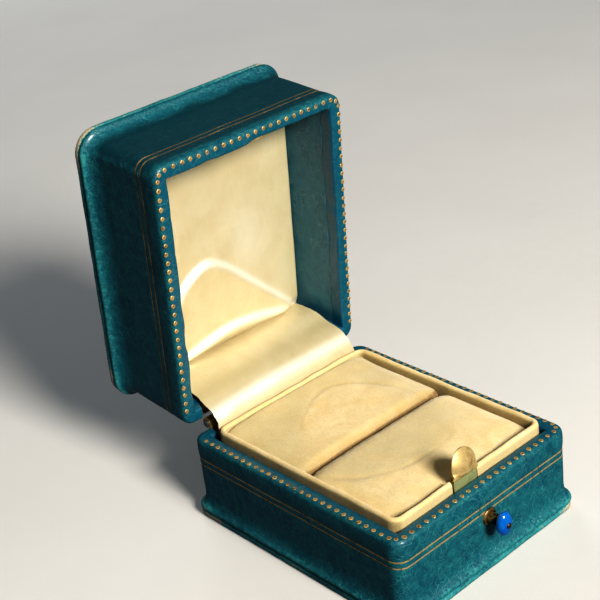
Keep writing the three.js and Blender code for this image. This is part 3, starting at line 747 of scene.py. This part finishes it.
def make_base_skin():
    skin = shell_skin("base_skin", BASE_HEIGHT, FOOT_REACH, FOOT_RADIUS, False, 0.10)
    cut(skin, hinge_cutters(False) + [bar_cutter(FERRULE_X, FERRULE_Z, 1.72, -34, -26)])
    place(skin, "leather", "base", "base_leather")


def make_lid_skin():
    skin = shell_skin("lid_skin", LID_HEIGHT, BRIM_REACH, BRIM_RADIUS, True, 0.5)
    keeper = keeper_cutter()
    cut(skin, hinge_cutters(True) + [keeper])
    place(skin, "leather", "lid", "lid_leather")


TONGUE_X, TONGUE_WIDTH = -2.4, 6.7


def keeper_cutter():
    """Rebate in the lid's front wall for the keeper plate, drawn shut."""
    half = TONGUE_WIDTH / 2 + 3.35
    inner = HALF_Y - WALL_INSET
    low = (TONGUE_X - half, -inner - 0.65, LID_RIM + 0.55)
    high = (TONGUE_X + half, -inner + 1, LID_RIM + 8.95)
    return box_cutter(low, high, True)


def plate_skin(name, brim, brim_radius, lid):
    """The leather-covered plate that closes a shell: a flat face, a rounded edge and a rough seam."""
    edge = brim - 0.18
    rows = []
    insets = list(np.linspace(20, 2.5, 14)) + [1.2]
    rows += [(edge - 0.45 - inset, 0.0, 0.0) for inset in insets]
    for step in range(6):
        a = math.radians(90 * step / 5)
        rows.append((edge - 0.5 * (1 - math.sin(a)), 0.5 - 0.5 * math.cos(a), 0.9))
    rows += [(edge + 0.05, PLATE * 0.55, 1.0), (edge, PLATE - 0.35, 0.85), (edge - 0.3, PLATE, 0.2)]
    rows += [(edge - SKIN - 0.1, PLATE, 0.0), (edge - SKIN - 0.1, SKIN, 0.0)]
    points, wear, count = stacked_loops(rows, lambda reach: max(brim_radius + reach - brim, 1.0), lid)
    outward = outward_of(points)
    ragged = wobble(points * (1, 1, 0.3), 3.2, 11.0 + lid, 3) * 0.09 * (wear > 0.1)
    points[:, :2] += outward * ragged[:, None]
    sag = wobble(points, 11.0, 12.0 + lid, 2) * 0.06
    points[:, 2] += sag if lid else np.abs(sag) * 0.5
    near_corner = corner_share(points)
    wear = wear * (0.85 + 0.5 * near_corner) + 0.3 * wobble(points, 5.0, 13.0) * (wear > 0.05)
    skin = either_way_up(name, points, loft_faces(len(rows), count, False, True), lid, 45)
    point_value(skin, "wear", wear)
    return skin


def make_plates():
    base = plate_skin("base_plate_skin", FOOT_REACH, FOOT_RADIUS, False)
    place(base, "leather", "base", "base_bottom_leather")
    lid = plate_skin("lid_plate_skin", BRIM_REACH, BRIM_RADIUS, True)
    place(lid, "leather", "lid", "lid_top_leather")


# ---- gilt tooling ----
DOT_PITCH = 2.005
DOT_INSET = 1.2
DOT_PROFILE = [(0.0, -0.01), (0.14, -0.005), (0.24, 0.01), (0.36, 0.018), (0.48, 0.0), (0.54, -0.08)]
DOT_SIDES = 14


def dot_places(inset_x, half_y, count_front, count_side):
    """Centres of the stamped dots: along the front, then back along each side."""
    x_edge, y_edge = HALF_X - inset_x, half_y - DOT_INSET
    pitch = 2 * x_edge / (count_front - 1)
    places = [(-x_edge + pitch * i, -y_edge) for i in range(count_front)]
    for side in (-1, 1):
        places += [(side * x_edge, -y_edge + DOT_PITCH * (i + 0.95)) for i in range(count_side)]
    return [round_corner(x, y, x_edge, y_edge) for x, y in places]


def round_corner(x, y, x_edge, y_edge):
    """A place on a square corner, moved in onto the rounded one."""
    radius = WALL_RADIUS - 0.6
    over_x, over_y = abs(x) - (x_edge - radius), -y - (y_edge - radius)
    away = math.hypot(over_x, over_y)
    if over_x <= 0 or over_y <= 0 or away <= radius:
        return x, y
    share = 1 - radius / away
    return x - math.copysign(over_x * share, x), y + over_y * share


def gilt_dots(name, places, z, up, body):
    """One low ring of gold for each dot, pressed unevenly."""
    points, faces, dimple = [], [], []
    for x, y in places:
        start = len(points)
        depth = RNG.uniform(0.25, 1.0)
        dimple += [depth] + [depth * share for share in (1, 0.6, 0, 0, 0) for _ in range(DOT_SIDES)]
        dx, dy = RNG.normal(0, 0.045, 2)
        size = 1 + RNG.normal(0, 0.05)
        ground = z + rim_unevenness(np.array([[x, y, z]]))[0]
        points.append((x + dx, y + dy, ground + up * DOT_PROFILE[0][1]))
        for radius, lift in DOT_PROFILE[1:]:
            for k in range(DOT_SIDES):
                a = 2 * math.pi * k / DOT_SIDES
                r = radius * size * (1 + 0.06 * math.cos(4 * a))
                points.append((x + dx + r * math.cos(a), y + dy + r * math.sin(a), ground + up * lift))
        rings = len(DOT_PROFILE) - 1
        for k in range(DOT_SIDES):
            j = (k + 1) % DOT_SIDES
            faces.append((start, start + 1 + k, start + 1 + j))
            for ring in range(rings - 1):
                a = start + 1 + ring * DOT_SIDES
                faces.append((a + k, a + DOT_SIDES + k, a + DOT_SIDES + j, a + j))
        faces.append(tuple(start + 1 + (rings - 1) * DOT_SIDES + k for k in range(DOT_SIDES))[::-1])
    dots = either_way_up(name, points, faces, up < 0, 60)
    point_value(dots, "rubbed_off", dimple)
    place(dots, "leather", body, material="gilt")


def make_dots():
    gilt_dots("base_gilt_dots", dot_places(1.0, HALF_Y, 25, 28), BASE_HEIGHT + 0.03, 1, "base")
    gilt_dots("lid_gilt_dots", dot_places(0.8, HALF_Y + 0.2, 24, 28), LID_RIM - 0.03, -1, "lid")


def gilt_fillets(name, rim, up, body):
    """Two thin gold lines right round the wall, lying in their grooves."""
    points, faces = [], []
    section = [(-0.20, -0.19), (-0.05, -0.17), (-0.03, -0.06), (-0.03, 0.06), (-0.05, 0.17), (-0.20, 0.19)]
    for depth in FILLETS:
        start = len(points)
        for out, rise in section:
            loop = rounded_loop(HALF_X + out, HALF_Y + out, WALL_RADIUS + out)
            z = rim - up * depth + rise + 0.05 * wobble(np.column_stack([loop, loop[:, 0] * 0]), 8.0, depth)
            points += np.column_stack([loop, z]).tolist()
        count = len(loop)
        faces += [tuple(start + i for i in f) for f in loft_faces(len(section), count, True)]
    points = np.array(points)
    outward = outward_of(points)
    points[:, :2] += outward * (wall_swell(points) + 0.02)[:, None]
    lost = smooth(wobble(points, 6.0, 91.0 + up, 3), -0.25, 0.35) * (0.85 if up < 0 else 0.25)
    if up < 0:
        front = smooth(-points[:, 1], HALF_Y - 1.0, HALF_Y - 0.3)
        front *= 1 - smooth(np.abs(points[:, 0]), HALF_X - 5, HALF_X - 2)
        lost = np.maximum(lost, 0.9 * front * smooth(wobble(points, 3.0, 97.0, 2), -0.7, -0.2))
    obj = new_mesh(name, points if up > 0 else opened(points), faces, 60)
    point_value(obj, "rubbed_off", lost)
    if up < 0:
        cut(obj, hinge_cutters(True))
    place(obj, "leather", body, material="gilt")


def make_fillets():
    gilt_fillets("base_gilt_fillets", BASE_HEIGHT, 1, "base")
    gilt_fillets("lid_gilt_fillets", LID_RIM, -1, "lid")


# ---- velvet collar and ring pads ----
collar_low, collar_high = box_mm("collar_velvet")
COLLAR_WALL = 1.25
COLLAR_MIDDLE_Y = (collar_low[1] + collar_high[1]) / 2
COLLAR_HALF_Y = (collar_high[1] - collar_low[1]) / 2


def collar_profile(foot, top):
    """Outer face, rounded top and inner face as (inset, height)."""
    half = COLLAR_WALL / 2
    rows = [(0.0, foot), (0.0, foot + 3), (0.0, foot + 6)]
    rows += [(0.0, h) for h in np.linspace(top - 2.4, top - 0.7, 4)]
    over_top = np.radians([25, 50, 72, 90, 108, 130, 155, 180])
    rows += [(half * (1 - math.cos(a)), top - 0.7 + 0.7 * math.sin(a)) for a in over_top]
    return rows + [(COLLAR_WALL, h) for h in (top - 1.4, top - 2.2, foot + 4, foot)]


def tint_collar(collar, top):
    """Painted shade: the top is left light, the velvet below it is painted greyer, and browner down its long
    sides.
    """
    co = np.zeros(len(collar.data.vertices) * 3)
    collar.data.vertices.foreach_get("co", co)
    co = co.reshape(-1, 3) / MM
    on_side = smooth(np.abs(co[:, 0]), collar_high[0] - 2.0, collar_high[0] - 1.0)
    # Painted shade below the lit top.
    point_value(collar, "nap_and_shade", 0.9 * smooth(co[:, 2], top - 0.3, top - 0.9))
    point_value(collar, "stain", (0.1 + 0.45 * on_side) * smooth(co[:, 2], top - 0.35, top - 1.1))


def make_collar():
    """The velvet collar: one band round the pads, uneven along its top, notched for the catch."""
    top, foot = collar_high[2], collar_low[2]
    loops = []
    for inset, z in collar_profile(foot, top):
        corner = max(2.4 - inset * 0.9, 0.3)
        half_x, half_y = collar_high[0] - inset, COLLAR_HALF_Y - inset
        loop = rounded_loop(half_x, half_y, corner, COLLAR_MIDDLE_Y)
        loops.append(np.column_stack([loop, np.full(len(loop), z)]))
    points = np.concatenate(loops)
    rise = smooth(points[:, 2], foot + 4, top)
    flat = points * (1, 1, 0)
    points[:, 2] += rise * (wobble(flat, 7.0, 21.0, 2) * 0.22 - 0.1)
    lean = wobble(flat, 9.0, 22.0, 2) * 0.16 + wobble(points, 1.4, 23.0) * 0.035 - 0.12
    points[:, :2] += outward_of(points) * (rise * lean)[:, None]
    collar = new_mesh("velvet_collar", points, loft_faces(len(loops), len(loops[0]), True), 60)
    half_gap = TONGUE_WIDTH / 2 + 0.35
    low = (TONGUE_X - half_gap, collar_low[1] - 1, foot - 1)
    high = (TONGUE_X + half_gap, collar_low[1] + COLLAR_WALL + 1, top + 2)
    cut(collar, [box_cutter(low, high)])
    tint_collar(collar, top)
    place(collar, "velvet", "base", "collar_velvet")


PAD_SIDE_GROWTH = 0.55  # velvet past the padding's box, towards the collar
PAD_BACK_GROWTH = 0.5
SLOT_GIVE = 0.35
PAD_DROP = 0.35  # the block starts this much lower, before its crown
# Creases in the pads, in plan
REAR_CREASE = [(-16, -3), (-14.2, 5), (-10.2, 12.1), (-6.7, 15), (-1.4, 18.2)]
REAR_CREASE += [(3.4, 19.6), (8.2, 18.5), (13.2, 12), (15.1, 4), (15.5, -3)]
FRONT_CREASE = [(-20.5, 3), (-19.3, -4), (-16.8, -8.8), (-13.7, -11.6), (-9.9, -13.8)]
FRONT_CREASE += [(-4.8, -15.4), (2, -15.6), (8, -14.2), (14, -9.5), (17.5, -4), (18.5, 3)]


def imprint(points, line):
    """Distance from a crease, positive towards the front of the box."""
    drift = np.column_stack([wobble(points * (1, 1, 0), 5.0, s, 2) for s in (31.0, 32.0)])
    return signed_distance(points[:, :2] + 0.3 * drift, spline(line, 40))


def rounded_block(low, high, radius, spacing):
    """A block with rounded edges as an even mesh: points and faces."""
    low, high = np.array(low, float), np.array(high, float)
    size = high - low
    counts = np.maximum(2, np.round(size / spacing).astype(int))
    lookup, points, faces = {}, [], []

    def index(i, j, k):
        key = (i, j, k)
        if key not in lookup:
            lookup[key] = len(points)
            points.append(low + size * np.array(key) / counts)
        return lookup[key]

    for axis in range(3):
        a, b = (axis + 1) % 3, (axis + 2) % 3
        for side in (0, counts[axis]):
            for i in range(counts[a]):
                for j in range(counts[b]):
                    corners = []
                    for di, dj in ((0, 0), (1, 0), (1, 1), (0, 1)):
                        key = [0, 0, 0]
                        key[axis], key[a], key[b] = side, i + di, j + dj
                        corners.append(index(*key))
                    faces.append(tuple(corners) if side else tuple(corners[::-1]))
    points = np.array(points)
    core = np.clip(points, low + radius, high - radius)
    away = points - core
    length = np.linalg.norm(away, axis=1, keepdims=True)
    points = np.where(length > 1e-9, core + away / np.maximum(length, 1e-9) * radius, points)
    return points, faces


def pad_block(node, toward_slot):
    """The pad's plain block, its box, and how far each of its points is from the slot."""
    low, high = box_mm(node)
    low[0] -= PAD_SIDE_GROWTH
    high[0] += PAD_SIDE_GROWTH
    high[1] += -SLOT_GIVE if toward_slot > 0 else PAD_BACK_GROWTH
    points, faces = rounded_block(low, high - (0, 0, PAD_DROP), 0.9, 0.5)
    from_slot = high[1] - points[:, 1] if toward_slot > 0 else points[:, 1] - low[1]
    return low, high, points, faces, from_slot


def crease_strength(points, toward_slot, seed):
    """How deep the crease is along its way: patchy, and gone at one end."""
    strength = 0.35 + 0.65 * smooth(wobble(points * (1, 1, 0), 6.0, seed + 1), -0.4, 0.3)
    if toward_slot > 0:
        return strength * (1 - smooth(points[:, 0], 5.0, 10.0))
    return strength * smooth(points[:, 0], -12.0, -5.0)


def shape_pad(points, low, high, from_slot, dent, toward_slot, seed):
    """Crowns the block's upper face, rolls it down at the slot and presses the crease into it."""
    u = np.abs(points[:, 0]) / high[0]
    depth_share = from_slot / (high[1] - low[1])
    upper = smooth(points[:, 2], high[2] - 2.6, high[2] - 0.6)
    fullness = 2.6 if toward_slot > 0 else 5.0
    crown = 0.75 * (1 - u**3.4) * (1 - np.abs(depth_share - 0.45) ** fullness)
    edge_fall = 0.55 * smooth(u, 0.84, 1.0) + 0.45 * toward_slot * smooth(depth_share, 0.75, 1.0)
    roll_depth, roll_width = (1.0, 1.7) if toward_slot > 0 else (0.55, 1.1)
    slot_roll = roll_depth * np.exp(-((from_slot / roll_width) ** 2))
    unevenness = 0.10 * wobble(points, 5.0, seed, 2)
    points[:, 2] += upper * (crown - edge_fall - 0.24 * dent - slot_roll + unevenness)
    pull = upper * 0.25 * np.exp(-((from_slot / 1.5) ** 2)) * (1 - smooth(u, 0.75, 1.0))
    points[:, 1] += toward_slot * pull * wobble(points * (1, 0, 0), 6.0, seed + 2, 2)


def reach_collar(points, front):
    """Brings the front pad's edge up to the collar, except behind the catch, which needs room to bend."""
    from_catch = np.abs(points[:, 0] - TONGUE_X) - TONGUE_WIDTH / 2
    clear_of_catch = smooth(from_catch, 1.2, 3.5)
    points[:, 1] -= 0.68 * clear_of_catch * smooth(-points[:, 1], -front - 2.5, -front)


def tint_pad(pad, points, top, from_slot, distance, dent, toward_slot, seed):
    """Grey behind the crease, partly pile brushed the other way and partly painted shade; a brown stain in
    the crease; painted shade on the slot's lip and painted shadow down inside the slot.
    """
    # Grey behind the crease: partly pile lying the other way, partly painted shade.
    tint_edge = 1.0 + 5.0 * smooth(np.abs(points[:, 0]), 6.0, 15.0)
    grey = smooth(-distance / tint_edge, -1, 1)
    point_value(pad, "nap_and_shade", np.clip(grey * 0.55 + 0.25 * wobble(points, 7.0, seed + 5, 2), 0, 0.8))
    # Painted shade on each pad's lip where it rolls down into the slot, blotchy on the front pad.
    if toward_slot > 0:
        blotches = np.clip(0.4 + 1.3 * wobble(points, 0.8, seed + 4, 2), 0, 1)
        lip = 0.42 * np.exp(-((from_slot / 2.6) ** 2)) * blotches
    else:
        lip = 0.52 * np.exp(-(from_slot**2))
    # Painted shadow down inside the slot.
    inside_slot = 0.9 * smooth(top - points[:, 2], 0.9, 1.5) * (from_slot < 1.2)
    point_value(pad, "stain", np.clip(0.24 * dent + lip + inside_slot, 0, 0.95))


def make_pad(name, node, toward_slot, seed):
    """A velvet ring pad: taut over its padding, rolled down into the slot and creased."""
    low, high, points, faces, from_slot = pad_block(node, toward_slot)
    distance = imprint(points, FRONT_CREASE if toward_slot > 0 else REAR_CREASE)
    dent = np.exp(-((distance / 0.5) ** 2)) * crease_strength(points, toward_slot, seed)
    shape_pad(points, low, high, from_slot, dent, toward_slot, seed)
    if toward_slot > 0:
        reach_collar(points, low[1])
    pad = new_mesh(name, points, faces, 80)
    tint_pad(pad, points, high[2], from_slot, distance, dent, toward_slot, seed)
    place(pad, "velvet", "base", node)


def make_pads():
    make_pad("pad_front", "ring_pad_front", 1, 41.0)
    make_pad("pad_rear", "ring_pad_rear", -1, 51.0)


# ---- satin ----
PANEL_FACE = LID_RIM + 14.2
PANEL_BACK = PANEL_FACE + 3.4
PANEL_HALF = (HALF_X - WALL_INSET - 0.25, HALF_Y - WALL_INSET - 0.25)
TALL_FOLD = [(-22.5, 27.0), (-17.5, 14.0), (-12.5, 6.2), (-6.2, 2.9), (-1.0, 5.0), (5.5, 10.9)]
TALL_FOLD += [(22.4, 27.0)]
LOW_FOLD = [(-22.5, 27.0), (-13.5, 23.0), (0.0, 20.8), (13.5, 22.8), (22.4, 27.0)]


def spline(points, count=80):
    """A smooth curve through points, as a polyline."""
    p = np.array(points, float)
    p = np.vstack([2 * p[0] - p[1], p, 2 * p[-1] - p[-2]])
    out = []
    steps = count // (len(p) - 3)
    for k in range(1, len(p) - 2):
        for t in np.linspace(0, 1, steps, endpoint=False):
            a, b, c, d = p[k - 1 : k + 3]
            bend, twist = 2 * a - 5 * b + 4 * c - d, 3 * b - a - 3 * c + d
            out.append(0.5 * (2 * b + (c - a) * t + bend * t**2 + twist * t**3))
    out.append(p[-2])
    return np.array(out)


def signed_distance(points, line):
    """Distance from points to a polyline in the plane, positive on its -y side."""
    best = np.full(len(points), 1e9)
    sign = np.ones(len(points))
    for a, b in zip(line, line[1:]):
        ab = b - a
        t = np.clip(((points - a) @ ab) / (ab @ ab), 0, 1)
        foot = a + t[:, None] * ab
        away = points - foot
        d = np.linalg.norm(away, axis=1)
        nearer = d < best
        best = np.where(nearer, d, best)
        side = ab[0] * away[:, 1] - ab[1] * away[:, 0]
        sign = np.where(nearer, np.where(side < 0, 1, -1), sign)
    return best * sign


def flank(below, height, width, fall):
    """The upper flank of a fold: it rises across the line, then sinks away slowly below it."""
    return height * smooth(below, -width, width) * np.exp(-np.maximum(below - width, 0) / fall)


def panel_lift(flat, below_tall, below_low):
    """How far the satin stands off the flat panel: padding, folds, the dip at the hinge cover, edges."""
    u, v = np.abs(flat[:, 0]) / PANEL_HALF[0], np.abs(flat[:, 1]) / PANEL_HALF[1]
    crown = 0.9 * (1 - u**8) * (1 - v**10)
    to_corner = np.hypot(np.abs(flat[:, 0]) - PANEL_HALF[0], flat[:, 1] - PANEL_HALF[1])
    fade = 0.35 + 0.65 * smooth(to_corner, 0.5, 9.0)
    rise = fade * (flank(below_tall, 1.25, 1.3, 9.0) + flank(below_low, 1.45, 1.2, 7.0))
    valley = 2.3 * smooth(flat[:, 1], 22.6, 27.0) * (1 - 0.6 * smooth(u, 0.85, 1.0))
    spots = np.column_stack([flat, flat[:, 0] * 0])
    roll = 0.8 * (smooth(u, 0.955, 1.0) + smooth(v, 0.965, 1.0))
    return crown + rise - valley + 0.12 * wobble(spots, 9.0, 61.0, 2) - roll


def tint_panel(panel, flat, below_tall, below_low, hidden):
    """Painted highlights along the folds, painted shade in the crease at the hinge cover, nothing on the
    hidden points behind.
    """
    # Painted highlights along both folds, and a broad painted highlight low on the right of the panel.
    fold_highlight = 0.70 * np.exp(-((below_tall / 0.75) ** 2)) + 0.65 * np.exp(-((below_low / 0.85) ** 2))
    highlight_spot = np.exp(-(((flat[:, 0] - 7) / 5.5) ** 2) - ((flat[:, 1] - 2) / 8.0) ** 2)
    fold_highlight += 0.32 * highlight_spot * (below_tall < 0)
    # Painted shade in the crease where the panel meets the hinge cover; it also dims the painted highlights
    # there.
    dull = 0.75 * np.exp(-(((flat[:, 1] - 26.0) / 1.5) ** 2))
    behind = np.zeros(hidden)
    point_value(panel, "painted_highlight", np.concatenate([np.clip(fold_highlight * (1 - dull), 0, 0.85), behind]))
    point_value(panel, "shade", np.concatenate([dull, behind]))


def make_satin_panel():
    """The padded panel in the lid: a face of satin over a flat back."""
    columns, rows = 110, 130
    x = np.linspace(-PANEL_HALF[0], PANEL_HALF[0], columns)
    y = np.linspace(-PANEL_HALF[1], PANEL_HALF[1], rows)
    gx, gy = np.meshgrid(x, y)
    flat = np.column_stack([gx.ravel(), gy.ravel()])
    below_tall, below_low = [-signed_distance(flat, spline(line)) for line in (TALL_FOLD, LOW_FOLD)]
    face = np.column_stack([flat, PANEL_FACE - panel_lift(flat, below_tall, below_low)])
    edge = grid_border(rows, columns)
    back = face[edge].copy()
    back[:, 2] = PANEL_BACK
    start = len(face)
    faces = grid_faces(rows, columns, 0, True)
    for i, a in enumerate(edge):
        j = (i + 1) % len(edge)
        faces.append((a, edge[j], start + j, start + i))
    faces.append(tuple(range(start, start + len(edge))))
    panel = new_mesh("satin_pad", opened(np.concatenate([face, back])), faces, 60)
    tint_panel(panel, flat, below_tall, below_low, len(edge))
    place(panel, "satin", "lid", "satin_panel")


GUSSET_PATH = [
    (26.85, 17.4), (26.85, 20.6), (27.55, 22.7), (29.3, 24.7), (32.0, 25.9), (35.2, 26.9), (38.8, 27.9),
    (42.4, 28.0), (45.4, 27.5), (47.8, 26.5), (49.2, 25.6),
]
GUSSET_HALF = 20.6
GUSSET_THICK = 0.22


def make_gusset():
    """Satin strip over the hinge, glued behind the collar and under the panel's edge, raw at its sides."""
    line = spline(GUSSET_PATH, 96)
    columns = 96
    x = np.linspace(-1, 1, columns)
    rows = len(line)
    share = np.linspace(0, 1, rows)
    grid = np.zeros((rows, columns, 3))
    middle = np.sin(np.pi * np.clip(share * 1.05, 0, 1)) ** 1.2
    for r in range(rows):
        spots = np.column_stack([x * 0 + share[r] * 9, x * 0, x * 0])
        fray = wobble(spots + (0, 3, 0), 0.8, 71.0, 3) * 0.34
        half = GUSSET_HALF - 0.35 * middle[r] + fray * np.abs(x) ** 8
        grid[r, :, 0] = x * half
        sag = middle[r] * (0.9 * (x < 0) * np.abs(x) ** 2 + 0.35 * (x > 0) * x**4)
        along = np.column_stack([x * 20, x * 0 + share[r] * 24, x * 0])
        fine_ripple = wobble(along * (0.3, 1, 1), 2.2, 73.0)
        ripple = middle[r] * (0.22 * wobble(along, 9.0, 72.0, 2) + 0.05 * fine_ripple)
        grid[r, :, 1] = line[r, 0] - 0.4 * ripple
        grid[r, :, 2] = line[r, 1] - sag + ripple
    gusset = sheet_mesh("satin_gusset", grid, GUSSET_THICK)
    height = np.repeat(share, columns)
    # Painted highlight across the hinge cover just above the collar.
    band = 0.70 * np.exp(-(((height - 0.265) / 0.05) ** 2))
    # Painted shade in the cover's valley and where its top end goes in under the panel's edge.
    dull = 0.36 * np.exp(-(((height - 0.45) / 0.07) ** 2)) + 0.75 * smooth(height, 0.84, 0.93)
    point_value(gusset, "painted_highlight", np.tile(band, 2))
    point_value(gusset, "shade", np.tile(dull, 2))
    place(gusset, "satin", None, "satin_hinge_cover")
    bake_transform(gusset)


# ---- brass catch, button and hinge ----
catch_low, catch_high = box_mm("catch_leaf")
TONGUE_FACE = -27.2
TONGUE_THICK = 0.42
NOSE_Z = BASE_HEIGHT + 2.9


def make_tongue():
    """Spring leaf of the catch: a flat strip, a rounded nose and a domed ramp with a round top."""
    tip = catch_high[2] - 0.1
    path = [(TONGUE_FACE, z) for z in (catch_low[2], 8.0, 14.0, NOSE_Z - 1.6)]
    path += [(TONGUE_FACE - 0.12, NOSE_Z - 0.9), (TONGUE_FACE - 0.7, NOSE_Z - 0.25)]
    path += [(TONGUE_FACE - 0.85, NOSE_Z + 0.4), (TONGUE_FACE - 0.70, NOSE_Z + 1.9)]
    path += [(TONGUE_FACE - 0.1, NOSE_Z + 3.4), (TONGUE_FACE + 0.8, tip)]
    line = spline(path, 150)
    columns = 33
    t = np.sin(np.linspace(-math.pi / 2, math.pi / 2, columns))
    half = TONGUE_WIDTH / 2
    top_start = tip - 4.4
    rows = len(line)
    grid = np.zeros((rows, columns, 3))
    for r, (y, z) in enumerate(line):
        up = np.clip((z - top_start) / (tip - top_start), 0, 1)
        width = half * math.sqrt(max(1 - up**2.2, 0.0008))
        dome = smooth(z, NOSE_Z - 0.9, NOSE_Z + 0.8)
        grid[r, :, 0] = TONGUE_X + t * width
        grid[r, :, 1] = y + dome * 0.95 * (t * width / half) ** 2
        grid[r, :, 2] = z + 0.35 * dome * (1 - up) * (t**2)
    tongue = sheet_mesh("catch_tongue", grid + (0, TONGUE_THICK / 2, 0), TONGUE_THICK, 50)
    heights = np.tile(grid[:, :, 2].ravel(), 2)
    # Painted reflection of the teal leather on the strip below the nose.
    point_value(tongue, "teal_reflection", 0.62 * smooth(heights, NOSE_Z - 0.2, NOSE_Z - 1.2))
    place(tongue, "brass", "catch", "catch_leaf")


BEAD_Y = -34.4


def make_button():
    bead_half = (box_mm("button_bead")[1] - box_mm("button_bead")[0]) / 2
    profile = []
    for a in np.linspace(-90, 90, 29):
        radius = math.cos(math.radians(a))
        profile.append((max(radius, 0.2), math.sin(math.radians(a))))
    profile = [(0.0, -0.955)] + [p for p in profile if p[0] > 0.21] + [(0.0, 0.955)]
    bead = lathe("blue_bead", profile, (0, 0, 0), 48)
    mesh = bead.data
    scale = Matrix.Diagonal((bead_half[0], bead_half[1], bead_half[2], 1))
    mesh.transform(Matrix.Translation(Vector((FERRULE_X, BEAD_Y, FERRULE_Z)) * MM) @ scale)
    place(bead, "bead_glass", "button", "button_bead")
    face = BEAD_Y - bead_half[1]
    head = [(0.0, -0.30), (0.30, -0.26), (0.58, -0.10), (0.66, 0.08), (0.4, 0.3), (0.0, 0.35)]
    pin = lathe("bead_pin_head", head, (FERRULE_X, face, FERRULE_Z), 28)
    place(pin, "brass", "button", "bead_pin", material="dark_brass")


def make_ferrule():
    """Brass eyelet that the button's stem slides in, dressed near-black: partly dark patina, partly painted
    shade cast by the bead.
    """
    wall = -HALF_Y
    bore = 1.28
    profile = [(bore, 2.6), (bore, -0.30), (1.42, -0.44), (1.66, -0.40), (1.92, -0.16)]
    profile += [(1.98, 0.02), (1.68, 0.06), (1.68, 2.6), (bore, 2.6)]
    ring = lathe("button_eyelet", profile, (FERRULE_X, wall, FERRULE_Z), 40)
    place(ring, "brass", "base", "button_ferrule", material="dark_brass")


def make_spring():
    """Torsion spring on the hinge pin: one leg is drawn on the base's side and the other, turned open with
    the lid, on the lid's side.
    """
    wire, coil = 0.24, 0.98
    turns, half = 17, 4.4
    path = []
    leaf = HALF_Y + 0.55
    path += [(-half - 0.3, leaf, 13.5), (-half - 0.3, leaf, 16.5)]
    path += [(-half - 0.25, leaf + 0.1, HINGE[2] - 0.4)]
    steps = turns * 14
    for k in range(steps + 1):
        a = math.radians(200) + 2 * math.pi * k / 14
        x = -half + 2 * half * k / steps
        path.append((x, HINGE[1] + coil * math.cos(a), HINGE[2] + coil * math.sin(a)))
    end = [(half + 0.25, leaf + 0.1, HINGE[2] + 0.4), (half + 0.3, leaf, 22.5), (half + 0.3, leaf, 25.6)]
    path += opened(end).tolist()
    spring = tube("wire_spring", np.array(path), wire, 8)
    place(spring, "steel", None, "hinge_spring")
    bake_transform(spring)


def tube(name, path, radius, sides):
    """A round wire along a path, closed at its ends."""
    forward = np.gradient(path, axis=0)
    forward /= np.linalg.norm(forward, axis=1, keepdims=True)
    side = np.cross(forward[0], (1.0, 0.2, 0.1))
    points = []
    for p, f in zip(path, forward):
        side = side - f * (side @ f)
        side /= np.linalg.norm(side)
        other = np.cross(f, side)
        for k in range(sides):
            a = 2 * math.pi * k / sides
            points.append(p + radius * (math.cos(a) * side + math.sin(a) * other))
    return new_mesh(name, points, loft_faces(len(path), sides, False, True), 60)


# ---- CAD nodes that stay ----
KEPT = {
    "wood": ["base_core", "base_bottom_board", "lid_core", "lid_top_board"],
    "card": ["base_floor", "collar_card", "pad_block_front", "pad_block_rear", "panel_board"],
    "lining_paper": ["lid_lining"],
    "brass": ["hinge_leaf_base", "hinge_leaf_lid", "button_stem", "keeper_plate"]
    + ["catch_pin_1", "catch_pin_2", "keeper_pin_1", "keeper_pin_2"]
    + [f"hinge_tack_{body}_{i}" for body in ("base", "lid") for i in (1, 2, 3)],
    "steel": ["hinge_pin"],
}


# The stem is dressed near-black: partly dark patina, partly painted shade cast by the bead.
PATINA_AND_SHADE = {"button_stem": "dark_brass"}


def dress_cad_nodes():
    for slot_name, nodes in KEPT.items():
        for node in nodes:
            obj = frame["nodes"][node]
            dress(obj, PATINA_AND_SHADE.get(node, slot_name))
            if slot_name in ("brass", "steel"):
                bevel = obj.modifiers.new("worn_edges", "BEVEL")
                bevel.width = 0.07 * MM
                bevel.segments = 2
                bevel.limit_method = "ANGLE"
                obj.data.polygons.foreach_set("use_smooth", [True] * len(obj.data.polygons))
                obj.data.set_sharp_from_angle(angle=math.radians(35))


add_camera()
add_lights()
add_floor()
make_base_skin()
make_lid_skin()
make_plates()
make_dots()
make_fillets()
make_collar()
make_pads()
make_satin_panel()
make_gusset()
make_tongue()
make_button()
make_ferrule()
make_spring()
dress_cad_nodes()
